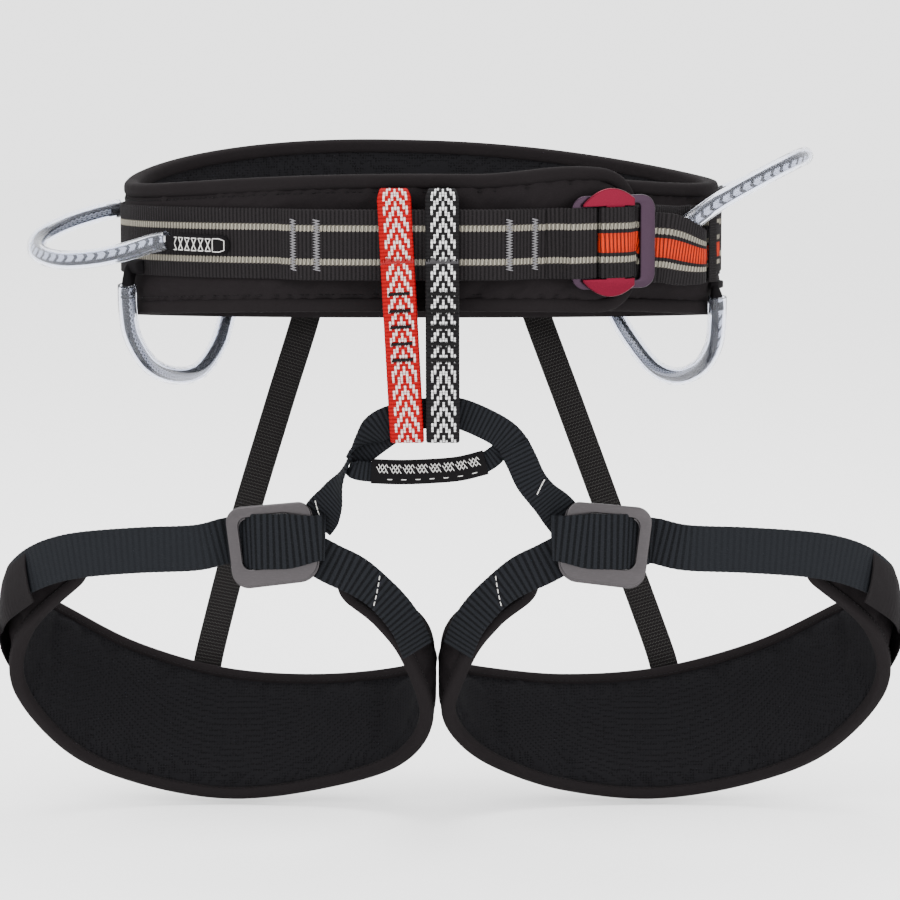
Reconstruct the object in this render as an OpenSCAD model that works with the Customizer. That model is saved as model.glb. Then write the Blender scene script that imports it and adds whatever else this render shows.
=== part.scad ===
// Climbing harness: padded waist belt with a doubled-back buckle, two belay loops, four gear
// loops and two padded leg loops that hang from a webbing bridge and two elastic risers.
// Millimetres. +X is the wearer's left, -Y the front, +Z up.
// The origin is the middle of the waist opening, at the belt's mid height.

/* [Waist belt] */
// Half of the belt's outside width
waist_a = 165; // [150:1:180]
// Half of the belt's outside depth
waist_b = 113; // [100:1:125]
// Sideways offset of the belt's centre from the belay loops
waist_cx = -9; // [-12:1:0]
// Thickness of the padded belt, binding included
waist_t = 9; // [8:0.5:10]
// Inward step of the belt end that lies under the tongue
under_step = 10.5; // [10:0.5:13]
// Extra height of the tongue's top edge
tongue_rise = 6; // [0:1:8]
// Corner radius of the tongue
tongue_r = 22; // [16:1:26]

/* [Webbing] */
// Width of the waist webbing
waist_web_w = 38; // [32:1:40]
// Width of the leg and bridge webbing
leg_web_w = 25; // [20:1:25]
// Width of the elastic risers
riser_w = 15; // [12:1:18]
// Thickness of the webbing
web_t = 1.6; // [1.2:0.1:2]

/* [Belay loops] */
// Width of each belay loop
belay_w = 18; // [16:1:20]
// Thickness of a belay loop strand
belay_t = 2.6; // [2:0.1:3]
// Lean of the red loop from top to bottom
red_lean = 6.5; // [0:0.5:6.5]

/* [Gear loops] */
// Outside diameter of the gear loop tube
gear_tube_d = 9.4; // [8:0.2:10]
// Inside diameter of the gear loop tube
gear_bore_d = 7; // [6:0.2:7.2]
// Diameter of the cord inside the tube
gear_cord_d = 6.4; // [5:0.2:6.6]

/* [Leg loops] */
// Thickness of the padded leg loops, binding included
leg_t = 8; // [7:0.5:9]
// Width of the right leg loop compared with the left
right_spread = 1.06; // [1:0.01:1.1]

/* [Buckles] */
// Width of the waist buckle frame
waist_buckle_w = 50; // [46:1:52]
// Height of the waist buckle frame
waist_buckle_h = 50; // [50:1:56]
// Height of the waist buckle's slider, over both lobes
slider_h = 58; // [58:1:64]
// Thickness of the buckle plates
plate_t = 2.2; // [1.6:0.1:2.6]

/* [Hidden] */

gap = 0.3;            // space between neighbours that must not touch
skin_t = 1.1;         // outer shell and mesh liner
edge_in = 8;          // height of the belt's edge binding
layer_in = edge_in + 0.8;         // inset of the belt's layers, clear of the binding
leg_edge_in = 6.5;    // height of the leg loop's edge binding
leg_layer_in = leg_edge_in + 1.8; // the same for the leg loops, whose edges slant more
web_gap = 0.4;        // space under the sewn webbing

// ---------------------------------------------------------------- small maths
function unit(v) = v / norm(v);
function mix(a, b, u) = a + (b - a) * u;
function ease(a, b, v) = let (u = min(1, max(0, (v - a) / (b - a)))) u * u * (3 - 2 * u);
function signed_pow(v, p) = sign(v) * pow(abs(v), p);
function catmull(a, b, c, d, u) =
    0.5 * (2 * b + (c - a) * u + (2 * a - 5 * b + 4 * c - d) * u * u
        + (3 * b - a - 3 * c + d) * u * u * u);
// Smooth open curve through the rows of p, n steps between rows
function smooth(p, n) = let (m = len(p) - 1) [
    for (i = [0 : m - 1], s = [0 : n - 1])
        catmull(p[max(i - 1, 0)], p[i], p[i + 1], p[min(i + 2, m)], s / n),
    p[m]];
function steps(a, b, n) = [for (i = [0 : n]) mix(a, b, i / n)];

// ---------------------------------------------------------------- lofts
// Solid through rings of the same number of points, closed on itself or capped
module loft(rings, closed = false) {
    n = len(rings);
    k = len(rings[0]);
    // Both faces of a flat section share their diagonals, so that stacked layers stay parallel
    sides = [for (i = [0 : closed ? n - 1 : n - 2], j = [0 : k - 1], h = [0, 1])
        let (i2 = (i + 1) % n, j2 = (j + 1) % k, a = i * k + j, b = i * k + j2,
            c = i2 * k + j2, d = i2 * k + j, far = j >= k / 2)
        h == 0 ? [a, far ? d : c, b] : [far ? b : a, d, c]];
    caps = closed ? [] : [[for (j = [0 : k - 1]) j], [for (j = [k - 1 : -1 : 0]) (n - 1) * k + j]];
    polyhedron([for (r = rings, p = r) p], concat(sides, caps));
}

function tangent(p, i, closed = false) = let (n = len(p))
    closed ? unit(p[(i + 1) % n] - p[(i + n - 1) % n])
           : unit(p[min(i + 1, n - 1)] - p[max(i - 1, 0)]);
// Flat strip of width w and thickness t; rows are [x, y, z, width direction x, y, z]
function place(row) = [row[0], row[1], row[2]];
function across(row) = [row[3], row[4], row[5]];
module strap(rows, w, t, n = 5) {
    path = smooth(rows, n);
    mid = [for (r = path) place(r)];
    loft([for (i = [0 : len(path) - 1])
        let (along = tangent(mid, i), face = unit(cross(along, across(path[i]))),
            side = unit(cross(face, along)), a = side * w / 2, b = face * t / 2)
        [mid[i] - a - b, mid[i] + a - b, mid[i] + a + b, mid[i] - a + b]]);
}
// Round section swept along a path: rings of k points of radius r
function rings_round(path, r, k) = [for (i = [0 : len(path) - 1])
    let (along = tangent(path, i), u = unit(cross(along, [0.3, 0.2, 1])), v = cross(along, u))
    [for (j = [0 : k - 1]) let (q = 360 * j / k) path[i] + r * (cos(q) * u + sin(q) * v)]];
module cord_solid(path, d, k = 8) { loft(rings_round(path, d / 2, k)); }
module tube_solid(path, d, bore, k = 8) {
    outer = rings_round(path, d / 2, k);
    inner = rings_round(path, bore / 2, k);
    n = len(path);
    m = n * k;
    wall = [for (i = [0 : n - 2], j = [0 : k - 1], h = [0 : 3])
        let (j2 = (j + 1) % k, a = i * k + j, b = i * k + j2, c = b + k, d2 = a + k)
        h == 0 ? [a, c, b] : h == 1 ? [a, d2, c]
            : h == 2 ? [m + a, m + b, m + c] : [m + a, m + c, m + d2]];
    ends = [for (j = [0 : k - 1], h = [0 : 3])
        let (j2 = (j + 1) % k, z = (n - 1) * k)
        h == 0 ? [j, j2, m + j2] : h == 1 ? [j, m + j2, m + j]
            : h == 2 ? [z + j2, z + j, m + z + j] : [z + j2, m + z + j, m + z + j2]];
    polyhedron([for (r = concat(outer, inner), p = r) p], concat(wall, ends));
}
// Chamfered bead around a closed path; lie is the fabric's normal at each point
module bead(path, lie, w, t) {
    c = min(w, t) * 0.28;
    loft([for (i = [0 : len(path) - 1])
        let (along = tangent(path, i, true), up = unit(cross(cross(along, lie[i]), along)),
            side = cross(along, up), a = w / 2, b = t / 2)
        [for (q = [[-a, b - c], [-a + c, b], [a - c, b], [a, b - c],
                   [a, -b + c], [a - c, -b], [-a + c, -b], [-a, -b + c]])
            path[i] + q[0] * side + q[1] * up]], closed = true);
}

// ---------------------------------------------------------------- waist belt
// The belt runs from its hidden end under the tongue, round the back, to the tongue's tip.
// Its place is an angle: -90 front, 0 the wearer's left, 90 back, 180 right, 270 front again.
belt_start = -62;
belt_end = 313.5;
plan_power = 0.91;                   // under 1 squares the plan a little
mm_per_degree = 2.4;                 // along the belt, near the tongue
corner_cut = 11;                      // space inside the binding's hidden corners

function belt_step(t) = -under_step * (1 - ease(-42, 0, t));
function plan_normal(t) = unit([signed_pow(cos(t), 2 - plan_power) / waist_a,
    signed_pow(sin(t), 2 - plan_power) / waist_b, 0]);
function plan(t, off, z) = [waist_cx + waist_a * signed_pow(cos(t), plan_power),
    waist_b * signed_pow(sin(t), plan_power), z] + (off + belt_step(t)) * plan_normal(t);
function belt_top(t) = 44 + 3.5 * sin(t) - 6.5 * cos(2 * t) - 6 * cos(t) * max(0, sin(t))
    + tongue_rise * ease(278, 300, t);
function belt_bottom(t) = -38 - 11.5 * sin(t);
function end_round(t, d) = let (r = tongue_r - d,
    x = min(r, max(0, (t - belt_end) * mm_per_degree + d + r))) r - sqrt(r * r - x * x);
function edge_hi(t, d) = belt_top(t) - d - end_round(t, d);
function edge_lo(t, d) = belt_bottom(t) + d + end_round(t, d);
function belt_angles(d, cut = 0) = concat(steps(belt_start + (d + cut) / mm_per_degree, 300, 62),
    [303, 305.5, 307.5, 309], [for (q = [6, 4, 2.2, 0.9, 0.2, 0]) belt_end - (q + d) / mm_per_degree]);

module belt_layer(outside, inside, d) {
    ts = [for (t = belt_angles(d, corner_cut)) if (t <= belt_end - d / mm_per_degree) t];
    loft([for (t = ts) [plan(t, inside, edge_lo(t, d)), plan(t, inside, edge_hi(t, d)),
        plan(t, outside, edge_hi(t, d)), plan(t, outside, edge_lo(t, d))]]);
}
module waist_shell() {
    color([0.09, 0.09, 0.10]) belt_layer(-gap, -gap - skin_t, layer_in);
}
module waist_foam() {
    color([0.20, 0.20, 0.22]) belt_layer(-2 * gap - skin_t, -waist_t + 2 * gap + skin_t, layer_in);
}
module waist_liner() {
    color([0.07, 0.07, 0.09]) belt_layer(-waist_t + gap + skin_t, -waist_t + gap, layer_in);
}
module waist_binding() {
    d = edge_in / 2;
    ts = [for (t = belt_angles(d)) if (t > belt_start + 5 && t <= belt_end - d / mm_per_degree) t];
    n = len(ts) - 1;
    hidden = belt_start + d / mm_per_degree;
    row = concat([for (t = ts) [t, edge_hi(t, d)]],
        [for (u = [1, 2, 3]) [ts[n], mix(edge_hi(ts[n], d), edge_lo(ts[n], d), u / 4)]],
        [for (i = [n : -1 : 0]) [ts[i], edge_lo(ts[i], d)]],
        [for (u = [0.05, 0.3, 0.7, 0.95])
            [hidden, mix(belt_bottom(hidden) + d, belt_top(hidden) - d, u)]]);
    color([0.10, 0.09, 0.09])
        bead([for (r = row) plan(r[0], -waist_t / 2, r[1])], [for (r = row) plan_normal(r[0])],
            edge_in, waist_t);
}

// ---------------------------------------------------------------- waist webbing
function web_z(t) = 6 - 4 * sin(t);
// The webbing lifts off the belt at the front, where the belay loops pass behind it
tie_from = 247;
tie_to = 287;
tie_lift = 7.5;
function web_lift(t) = tie_lift * ease(tie_from - 4, tie_from + 5, t)
    * (1 - ease(tie_to - 5, tie_to + 4, t));
function web_row(t, off) = let (p = plan(t, off, web_z(t))) [p[0], p[1], p[2], 0, 0, 1];

// Buckle frame of reference on the tongue: u along the belt, v outwards
buckle_t = 305.5;
buckle_z = 10;
buckle_o = plan(buckle_t, 0, buckle_z);
buckle_n = plan_normal(buckle_t);
buckle_u = [-buckle_n[1], buckle_n[0], 0];
buckle_turn = atan2(buckle_u[1], buckle_u[0]);
function on_buckle(u, v, z = 0) = let (p = buckle_o + u * buckle_u + v * buckle_n + [0, 0, z])
    [p[0], p[1], p[2], 0, 0, 1];

frame_v = 4.6;        // height of the buckle frame above the belt
bar_left = -12;       // right side of the frame's left bar
bar_right = 16;       // left side of the frame's right bar
slider_v = frame_v + plate_t + 0.4;
slider_bar = [-6, 5.5];

module waist_webbing() {
    m = web_t / 2;
    lie = web_gap + m;
    top_v = frame_v + plate_t + 0.6 + m;
    fold_u = bar_left + gap + m;
    ts = concat(steps(-9, 240, 46), steps(243, 290.5, 19));
    color([0.16, 0.17, 0.18]) strap(concat(
        [for (t = ts) web_row(t, lie + web_lift(t))],
        [on_buckle(-31, 2.4), on_buckle(-28.2, 5), on_buckle(-26, top_v), on_buckle(-20, top_v + 0.1),
         on_buckle(bar_left - 1, top_v), on_buckle(fold_u, frame_v + plate_t), on_buckle(fold_u, frame_v),
         on_buckle(bar_left - 1, frame_v - 0.6 - m), on_buckle(-22, frame_v - 0.7 - m)]),
        waist_web_w, web_t, 2);
}
// Second layer over the lifted stretch, which the wear of the rope and the loops falls on
module tie_in_webbing() {
    color([0.11, 0.11, 0.12])
        strap([for (t = steps(tie_from + 1.5, tie_to - 1.5, 12))
            web_row(t, web_gap + web_t * 1.5 + 0.5 + web_lift(t))], waist_web_w - 1, web_t, 2);
}

// The strap comes from the belt's left half, passes up through the frame, round the slider's bar
// and back under the frame's right bar; its tail runs on to the keeper.
keeper_t = -19;
module waist_strap_tail() {
    m = web_t / 2;
    low = 0.5 + m;
    over = slider_v + plate_t + 0.5 + m;
    color([0.93, 0.36, 0.12]) strap(concat(
        [web_row(-10, 1.2 + m), web_row(-14, 1.6 + m), web_row(keeper_t, 2 + m),
         web_row(-24, 2.5 + m), web_row(-29, 4.5 + m), web_row(-34, 7 + m)],
        [on_buckle(27, low + 0.2), on_buckle(20, low), on_buckle(6, low), on_buckle(-3, low),
         on_buckle(-7.6, 2.6), on_buckle(-8.8, 4.6), on_buckle(-8.9, slider_v),
         on_buckle(-8.6, slider_v + plate_t), on_buckle(-5.4, over), on_buckle(0, over + 0.2),
         on_buckle(6, over), on_buckle(11, slider_v), on_buckle(14.2, 4.6),
         on_buckle(17.6, frame_v - 0.6 - m), on_buckle(23, frame_v - 0.6 - m),
         on_buckle(28, frame_v - 0.8 - m), on_buckle(36, frame_v - 1.4, -3)],
        [for (r = [[-31.5, 9.6, -6], [-27, 6.6, -8], [-23, 4.8, -7], [keeper_t, 4.3, -5],
                   [-15, 4.0, -4], [-12.5, 3.8, -4]])
            let (p = plan(r[0], r[1] + m, web_z(r[0]) + r[2])) [p[0], p[1], p[2], 0, 0, 1]]),
        waist_web_w, web_t, 3);
}
module waist_keeper() {
    along = plan(keeper_t + 2, 0, 0) - plan(keeper_t - 2, 0, 0);
    o = plan(keeper_t, 0, web_z(keeper_t) - 2.5);
    color([0.08, 0.08, 0.08]) translate(o) rotate([0, 0, atan2(along[1], along[0]) - 90])
        difference() {
            translate([0.4, -4, -25]) cube([8.4, 8, 50]);
            translate([1.2, -5, -23.8]) cube([6.8, 10, 47.6]);
        }
}

// ---------------------------------------------------------------- waist buckle
module on_tongue(v) {
    translate(buckle_o) rotate([0, 0, buckle_turn]) rotate([90, 0, 0]) translate([0, 0, v])
        linear_extrude(plate_t) children();
}
module rounded_box(w, h, r) {
    square([w - 2 * r, h], center = true);
    square([w, h - 2 * r], center = true);
    for (x = [-1, 1], y = [-1, 1]) translate([x * (w / 2 - r), y * (h / 2 - r)]) circle(r, $fn = 48);
}
module waist_buckle_frame() {
    open_h = waist_web_w + 3;
    color([0.36, 0.32, 0.38]) on_tongue(frame_v) difference() {
        rounded_box(waist_buckle_w, waist_buckle_h, 6);
        translate([(bar_left + bar_right) / 2, 0]) rounded_box(bar_right - bar_left, open_h, 1.5);
    }
}
// Two lobes that ride in front of the frame's rails, and the bar that the strap turns round
module waist_buckle_slider() {
    lobe_w = 31;
    lobe_h = (slider_h - waist_web_w - 3) / 2;
    lobe_r = (lobe_w * lobe_w / 4 + lobe_h * lobe_h) / (2 * lobe_h);
    base = slider_h / 2 - lobe_h;
    color([0.55, 0.10, 0.16]) on_tongue(slider_v) {
        translate([slider_bar[0], -base - 1]) square([slider_bar[1] - slider_bar[0], 2 * base + 2]);
        for (s = [-1, 1]) intersection() {
            translate([-4, s * (slider_h / 2 - lobe_r)]) circle(lobe_r, $fn = 96);
            translate([-4, s * (base + lobe_h / 2)]) square([lobe_w + 2, lobe_h + 0.001], center = true);
        }
    }
}

// ---------------------------------------------------------------- belay loops
belay_hi = 37.5;      // inside of the top turn
belay_lo = -92.8;     // inside of the bottom turn
belay_y = -120.6;     // middle between the strands
belay_r = 5.4;        // half the distance between the strands at the belt
belay_r_low = 6.8;    // the same at the bridge
belay_bow = 3.5;      // how far the front strand bows out
module belay_loop(x, lean) {
    top = belay_hi + belay_t / 2 - 5;
    bottom = belay_lo - belay_t / 2 + 6;
    turn = steps(0, 180, 10);
    half = function (u) mix(belay_r, belay_r_low, ease(0.5, 1, u));
    path = concat(
        [for (q = turn) [-cos(q) * belay_r, top + 5 * sin(q)]],
        [for (u = [0.1 : 0.1 : 0.9]) [half(u), mix(top, bottom, u)]],
        [for (q = turn) [cos(q) * belay_r_low, bottom - 6 * sin(q)]],
        [for (u = [0.9 : -0.1 : 0.1]) [-half(u) - belay_bow * sin(180 * u), mix(top, bottom, u)]]);
    mid = [for (p = path) [x + lean * (top - p[1]) / (top - bottom), belay_y + p[0], p[1]]];
    loft([for (i = [0 : len(mid) - 1])
        let (along = tangent(mid, i, true), face = unit(cross([1, 0, 0], along)),
            a = [belay_w / 2, 0, 0], b = face * belay_t / 2)
        [mid[i] - a + b, mid[i] + a + b, mid[i] + a - b, mid[i] - a - b]], closed = true);
}
module red_belay_loop() { color([0.80, 0.13, 0.12]) belay_loop(-22.5, red_lean); }
module black_belay_loop() { color([0.25, 0.25, 0.26]) belay_loop(2.8, 0.4); }

// ---------------------------------------------------------------- gear loops
// Routes of the tubes from front end to rear end
front_left_route = [[-152.5, -76.5, 6], [-167, -69, 1], [-186, -62, -3], [-206, -48, -4], [-220, -25, -1],
    [-221, 0, 5], [-210, 19, 11], [-194, 31, 16], [-180, 40, 19]];
front_right_route = [[140, -61, 25], [155, -56, 30.5], [176, -47, 41], [194, -32, 49], [203, -8, 51],
    [199, 16, 47], [186, 32, 39], [172, 41, 31], [160, 48, 26]];
rear_left_route = [[-169, -53, -17], [-169, -49, -31], [-167, -40, -47], [-159, -20, -64], [-147, 9, -73],
    [-135, 40, -73], [-126, 70, -61], [-122, 94, -46], [-117, 100, -33]];
rear_right_route = [[154, -34, -25], [154, -31, -37], [153, -20, -53], [147, 0, -67], [136, 24, -75],
    [124, 49, -73], [112, 74, -60], [103, 94, -45], [102, 102, -34]];
module gear_sleeve(route) {
    color([0.80, 0.85, 0.92, 0.6]) tube_solid(smooth(route, 3), gear_tube_d, gear_bore_d);
}
module gear_cord(route) { color([0.12, 0.12, 0.13]) cord_solid(smooth(route, 3), gear_cord_d); }
module front_left_gear_sleeve() { gear_sleeve(front_left_route); }
module front_left_gear_cord() { gear_cord(front_left_route); }
module front_right_gear_sleeve() { gear_sleeve(front_right_route); }
module front_right_gear_cord() { gear_cord(front_right_route); }
module rear_left_gear_sleeve() { gear_sleeve(rear_left_route); }
module rear_left_gear_cord() { gear_cord(rear_left_route); }
module rear_right_gear_sleeve() { gear_sleeve(rear_right_route); }
module rear_right_gear_cord() { gear_cord(rear_right_route); }

// A sewn tab that holds a tube's end: strip on the belt from angle a to b
tab_t = 4;
module gear_tab(a, b, z, h) {
    base = web_gap + web_t + 0.3;
    color([0.07, 0.07, 0.07]) loft([for (t = steps(a, b, 6))
        [plan(t, base, z - h / 2), plan(t, base, z + h / 2), plan(t, base + tab_t, z + h / 2),
         plan(t, base + tab_t, z - h / 2)]]);
}
module front_left_gear_tabs() { gear_tab(216.5, 234.5, 8, 10); gear_tab(154, 158.5, 18, 8); }
module front_right_gear_tabs() { gear_tab(-38.5, -34.5, 17, 8); gear_tab(24, 28.5, 26, 8); }
module rear_left_gear_tabs() { gear_tab(201, 207, -7, 8); gear_tab(124, 130, -22, 8); }
module rear_right_gear_tabs() { gear_tab(-15, -10, -18.6, 4); gear_tab(49, 55, -23, 8); }

// ---------------------------------------------------------------- bridge and risers
// Rows give the middle of the webbing and the direction across it
bridge_rows = [[-44, -116, -104, 0.5, -0.75, 0.35], [-38, -118, -95, 0.4, -0.5, 0.65],
    [-28, -120.4, -83.7, 0.25, -0.1, 0.9], [-13, -120.6, -81.5, 0.1, -0.1, 1], [3, -120.6, -80.5, 0, 0, 1],
    [17, -120.4, -82, 0.2, 0, 1], [28, -118.5, -89, 0.5, 0, 0.85], [37, -116, -98, 0.7, 0, 0.65],
    [44.5, -114, -107, 0.85, 0, 0.5]];
module bridge_webbing() { color([0.14, 0.15, 0.16]) strap(bridge_rows, 16.5, web_t, 3); }
left_arm_rows = [[-44.8, -115.7, -105.5, 0.5, -0.75, 0.35], [-50, -113, -115, 0.45, -0.85, 0.05],
    [-55, -107.5, -125, 0.6, -0.6, -0.2], [-59.5, -101.5, -134, 0.8, -0.15, -0.45],
    [-63.5, -99, -141, 0.8, -0.1, -0.5]];
right_arm_rows = [[45.5, -113.6, -108.5, 0.85, 0, 0.5], [53.5, -110.5, -120, 0.88, 0, 0.45],
    [60.5, -101, -131, 0.85, 0, 0.5], [66.5, -98.5, -140, 0.8, 0, 0.55]];
module left_bridge_arm() { color([0.14, 0.15, 0.16]) strap(left_arm_rows, 21, web_t, 3); }
module right_bridge_arm() { color([0.14, 0.15, 0.16]) strap(right_arm_rows, 21, web_t, 3); }

// Triangular loop under the bridge, its two ends sewn behind the bridge's corners
tie_loop_rows = [[-33, -113, -96, 0.3, -0.8, 0.5], [-40.5, -112.5, -104, 0.35, -0.6, 0.7],
    [-41, -112.5, -109.5, 0.3, -0.3, 0.9], [-34, -113, -112, 0, 0, 1], [-20, -113.5, -112.5, 0, 0, 1],
    [-4, -113.5, -112, 0, 0, 1], [12, -113.5, -110.5, 0, 0, 1], [25, -113, -107, -0.2, 0, 1],
    [33, -112.5, -101, -0.5, -0.3, 0.8], [34, -112, -95, -0.7, -0.4, 0.5]];
module lower_tie_in_loop() { color([0.10, 0.10, 0.10]) strap(tie_loop_rows, 11, web_t, 3); }
sleeve_rows = [[-35, -115.2, -111.8, 0, 0, 1], [-20, -115.5, -112.5, 0, 0, 1],
    [-4, -115.5, -112, 0, 0, 1], [12, -115.5, -110.5, 0, 0, 1], [25, -115, -107, -0.2, 0, 1]];
module tie_in_sleeve() { color([0.06, 0.06, 0.06]) strap(sleeve_rows, 12, 1.2, 3); }

// Risers run from the belt's back, over its lower edge, to the outside of the leg pads
left_riser_rows = [[-72, 110, -28, 1, 0, 0.1], [-78, 108.5, -52, 1, 0, 0.28], [-93, 101, -100, 1, 0, 0.3],
    [-114, 83, -170, 1, 0, 0.3], [-130, 60, -232, 1, 0, 0.3], [-134, 53.5, -252, 1, 0, 0.25],
    [-138, 45, -272, 1, 0, 0.2]];
right_riser_rows = [[51, 117, -28, 1, 0, -0.2], [59, 114, -52, 1, 0, -0.35], [77, 104, -100, 1, 0, -0.37],
    [103, 84, -170, 1, 0, -0.37], [126, 61, -232, 1, 0, -0.37], [132, 55, -252, 1, 0, -0.3],
    [138, 45, -272, 1, 0, -0.2]];
module riser(rows) { color([0.12, 0.10, 0.09]) strap(rows, riser_w, 1.4, 4); }
module left_riser() { riser(left_riser_rows); }
module right_riser() { riser(right_riser_rows); }

// ---------------------------------------------------------------- leg loops
// Rows of the left pad from its inner tip round the back to its outer tip:
// lower edge x, y, z and upper edge x, y, z
pad_rows = [
    [-48, -86, -187, -46, -90, -171], [-31, -78, -203, -25, -78, -183], [-16, -60, -226, -10.5, -56, -198],
    [-6, -36, -262, -5.5, -26, -218], [-24, -6, -292, -9, 18, -238], [-67, 11, -309, -62, 43, -249],
    [-118, 17, -316, -120, 50, -247], [-168, 14, -307, -171, 46, -232], [-207, -1, -286, -208, 29, -210],
    [-233, -25, -247, -234, -15, -184], [-226, -54, -210, -226, -50, -169],
    [-195, -77, -179, -202, -75, -161]];
pad_steps = 4;
function pad_lo(r) = [r[0], r[1], r[2]];
function pad_hi(r) = [r[3], r[4], r[5]];
pad = smooth(pad_rows, pad_steps);
pad_mid = [for (r = pad) (pad_lo(r) + pad_hi(r)) / 2];
function pad_up(i) = unit(pad_hi(pad[i]) - pad_lo(pad[i]));
function pad_out(i) = unit(cross(tangent(pad_mid, i), pad_up(i)));
function on_pad(i, d, off) = pad_out(i) * off + (d >= 0 ? pad_lo(pad[i]) + d * pad_up(i)
    : pad_hi(pad[i]) + d * pad_up(i));
pad_n = len(pad) - 1;

function side_x(x) = -x * mix(1.02, right_spread, ease(60, 240, -x));
// The right pad's inner lower corner sits a little higher than the left one's
function side_lift(p) = 5 * ease(-70, -10, p[0]) * ease(235, 280, -p[2]);
function side_of(s, p) = s < 0 ? p : [side_x(p[0]), p[1], p[2] + side_lift(p)];
// Mirroring turns a ring's order round, so the right side lists its rings backwards
function side_rings(s, rings) = s < 0 ? rings
    : [for (i = [len(rings) - 1 : -1 : 0]) [for (p = rings[i]) side_of(s, p)]];

module pad_layer(s, inside, outside) {
    d = leg_layer_in;
    loft(side_rings(s, [for (i = [1 : pad_n - 1])
        [on_pad(i, d, outside), on_pad(i, d, inside), on_pad(i, -d, inside), on_pad(i, -d, outside)]]));
}
module leg_shell(s) { color([0.09, 0.09, 0.10]) pad_layer(s, leg_t / 2 - gap - skin_t, leg_t / 2 - gap); }
module leg_foam(s) {
    color([0.20, 0.20, 0.22])
        pad_layer(s, -leg_t / 2 + 2 * gap + skin_t, leg_t / 2 - 2 * gap - skin_t);
}
module leg_liner(s) { color([0.07, 0.07, 0.09]) pad_layer(s, -leg_t / 2 + gap, -leg_t / 2 + gap + skin_t); }

module leg_binding(s) {
    d = leg_edge_in / 2;
    tip = function (i, dir, q) let (c = pad_mid[i], h = norm(pad_hi(pad[i]) - pad_lo(pad[i])) / 2 - d)
        c + pad_up(i) * h * cos(q) + tangent(pad_mid, i) * dir * h * sin(q);
    path = concat([for (i = [0 : pad_n]) on_pad(i, -d, 0)],
        [for (q = [30 : 30 : 150]) tip(pad_n, 1, q)],
        [for (i = [pad_n : -1 : 0]) on_pad(i, d, 0)],
        [for (q = [150 : -30 : 30]) tip(0, -1, q)]);
    lie = concat([for (i = [0 : pad_n]) pad_out(i)], [for (q = [30 : 30 : 150]) pad_out(pad_n)],
        [for (i = [pad_n : -1 : 0]) pad_out(i)], [for (q = [150 : -30 : 30]) pad_out(0)]);
    flip = s < 0 ? 1 : -1;
    order = s < 0 ? [0 : len(path) - 1] : [len(path) - 1 : -1 : 0];
    color([0.12, 0.10, 0.10])
        bead([for (i = order) side_of(s, path[i])],
            [for (i = order) unit([flip * lie[i][0], lie[i][1], lie[i][2]])], leg_edge_in, leg_t);
}

// ---------------------------------------------------------------- leg straps and buckles
// Buckle frame of reference: u towards the middle of the harness, v outwards, w up the plate
leg_buckle_o = [-88.5, -99, -151];
leg_plate_v = 2.2;
inner_bar = 16;       // u of the bar that the strap wraps
buckle_lean = 9;      // the bridge's pull leans the leg buckles
leg_u = unit([1, -0.14, -0.02]);
leg_v = unit(cross(cross(leg_u, [0, -1, 0.06]), leg_u));
leg_w = cross(leg_v, leg_u);
function on_leg_buckle(u, v) = let (p = leg_buckle_o + u * leg_u + v * leg_v)
    [p[0], p[1], p[2], 0, 0.05, 1];

strap_rows = [[-237.5, -47, -190, 0.05, 0.2, 1], [-233, -60.5, -184, 0.05, 0.2, 1],
    [-222, -74.5, -175.5, 0.05, 0.15, 1], [-208, -84, -169, 0.1, 0.1, 1], [-190, -91.5, -164, 0.05, 0.05, 1],
    [-160, -96.5, -159, 0, 0.05, 1], [-130, -98, -155, 0, 0.05, 1]];
// The strap passes behind the outer bar, up through the frame and over the inner bar
module leg_strap(s) {
    m = web_t / 2;
    over = leg_plate_v + plate_t + 1.6 + m;   // room for the frame to tilt under the strap
    rows = concat(strap_rows, [for (q = [[-26, -0.9], [-14, -0.9], [-4, -0.6], [3, 1.6], [6, 4.4],
        [10, over], [16, over + 0.2], [22, over - 0.2], [26.5, 4.6], [28.5, 2]])
        on_leg_buckle(q[0], q[1])]);
    side_strap(s, rows, leg_web_w, web_t, 3, [0.15, 0.16, 0.17]);
}
module side_strap(s, rows, w, t, n, tint) {
    turned = s < 0 ? rows : [for (r = rows) [side_x(r[0]), r[1], r[2], -r[3], r[4], r[5]]];
    color(tint) strap(turned, w, t, n);
}
inner_rows = [[-80, -96.5, -155, 0.1, 0, 1], [-67, -98.6, -159, 0.25, 0, 1], [-56, -99.2, -165.5, 0.32, 0, 1],
    [-42, -96.5, -174, 0.4, 0.05, 1], [-28, -89.5, -187, 0.6, 0.1, 0.9], [-17, -80, -203, 0.8, 0.2, 0.7],
    [-11, -67, -219, 0.9, 0.3, 0.45]];
module leg_inner_webbing(s) { side_strap(s, inner_rows, leg_web_w - 3, web_t, 3, [0.13, 0.13, 0.14]); }
pocket_rows = [[-242, -39, -197, 0.05, 0.25, 1], [-237, -58, -188, 0.05, 0.2, 1],
    [-223.5, -77.5, -177, 0.05, 0.15, 1]];
module leg_pocket(s) { side_strap(s, pocket_rows, leg_web_w + 6, 1, 3, [0.1, 0.09, 0.09]); }

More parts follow.
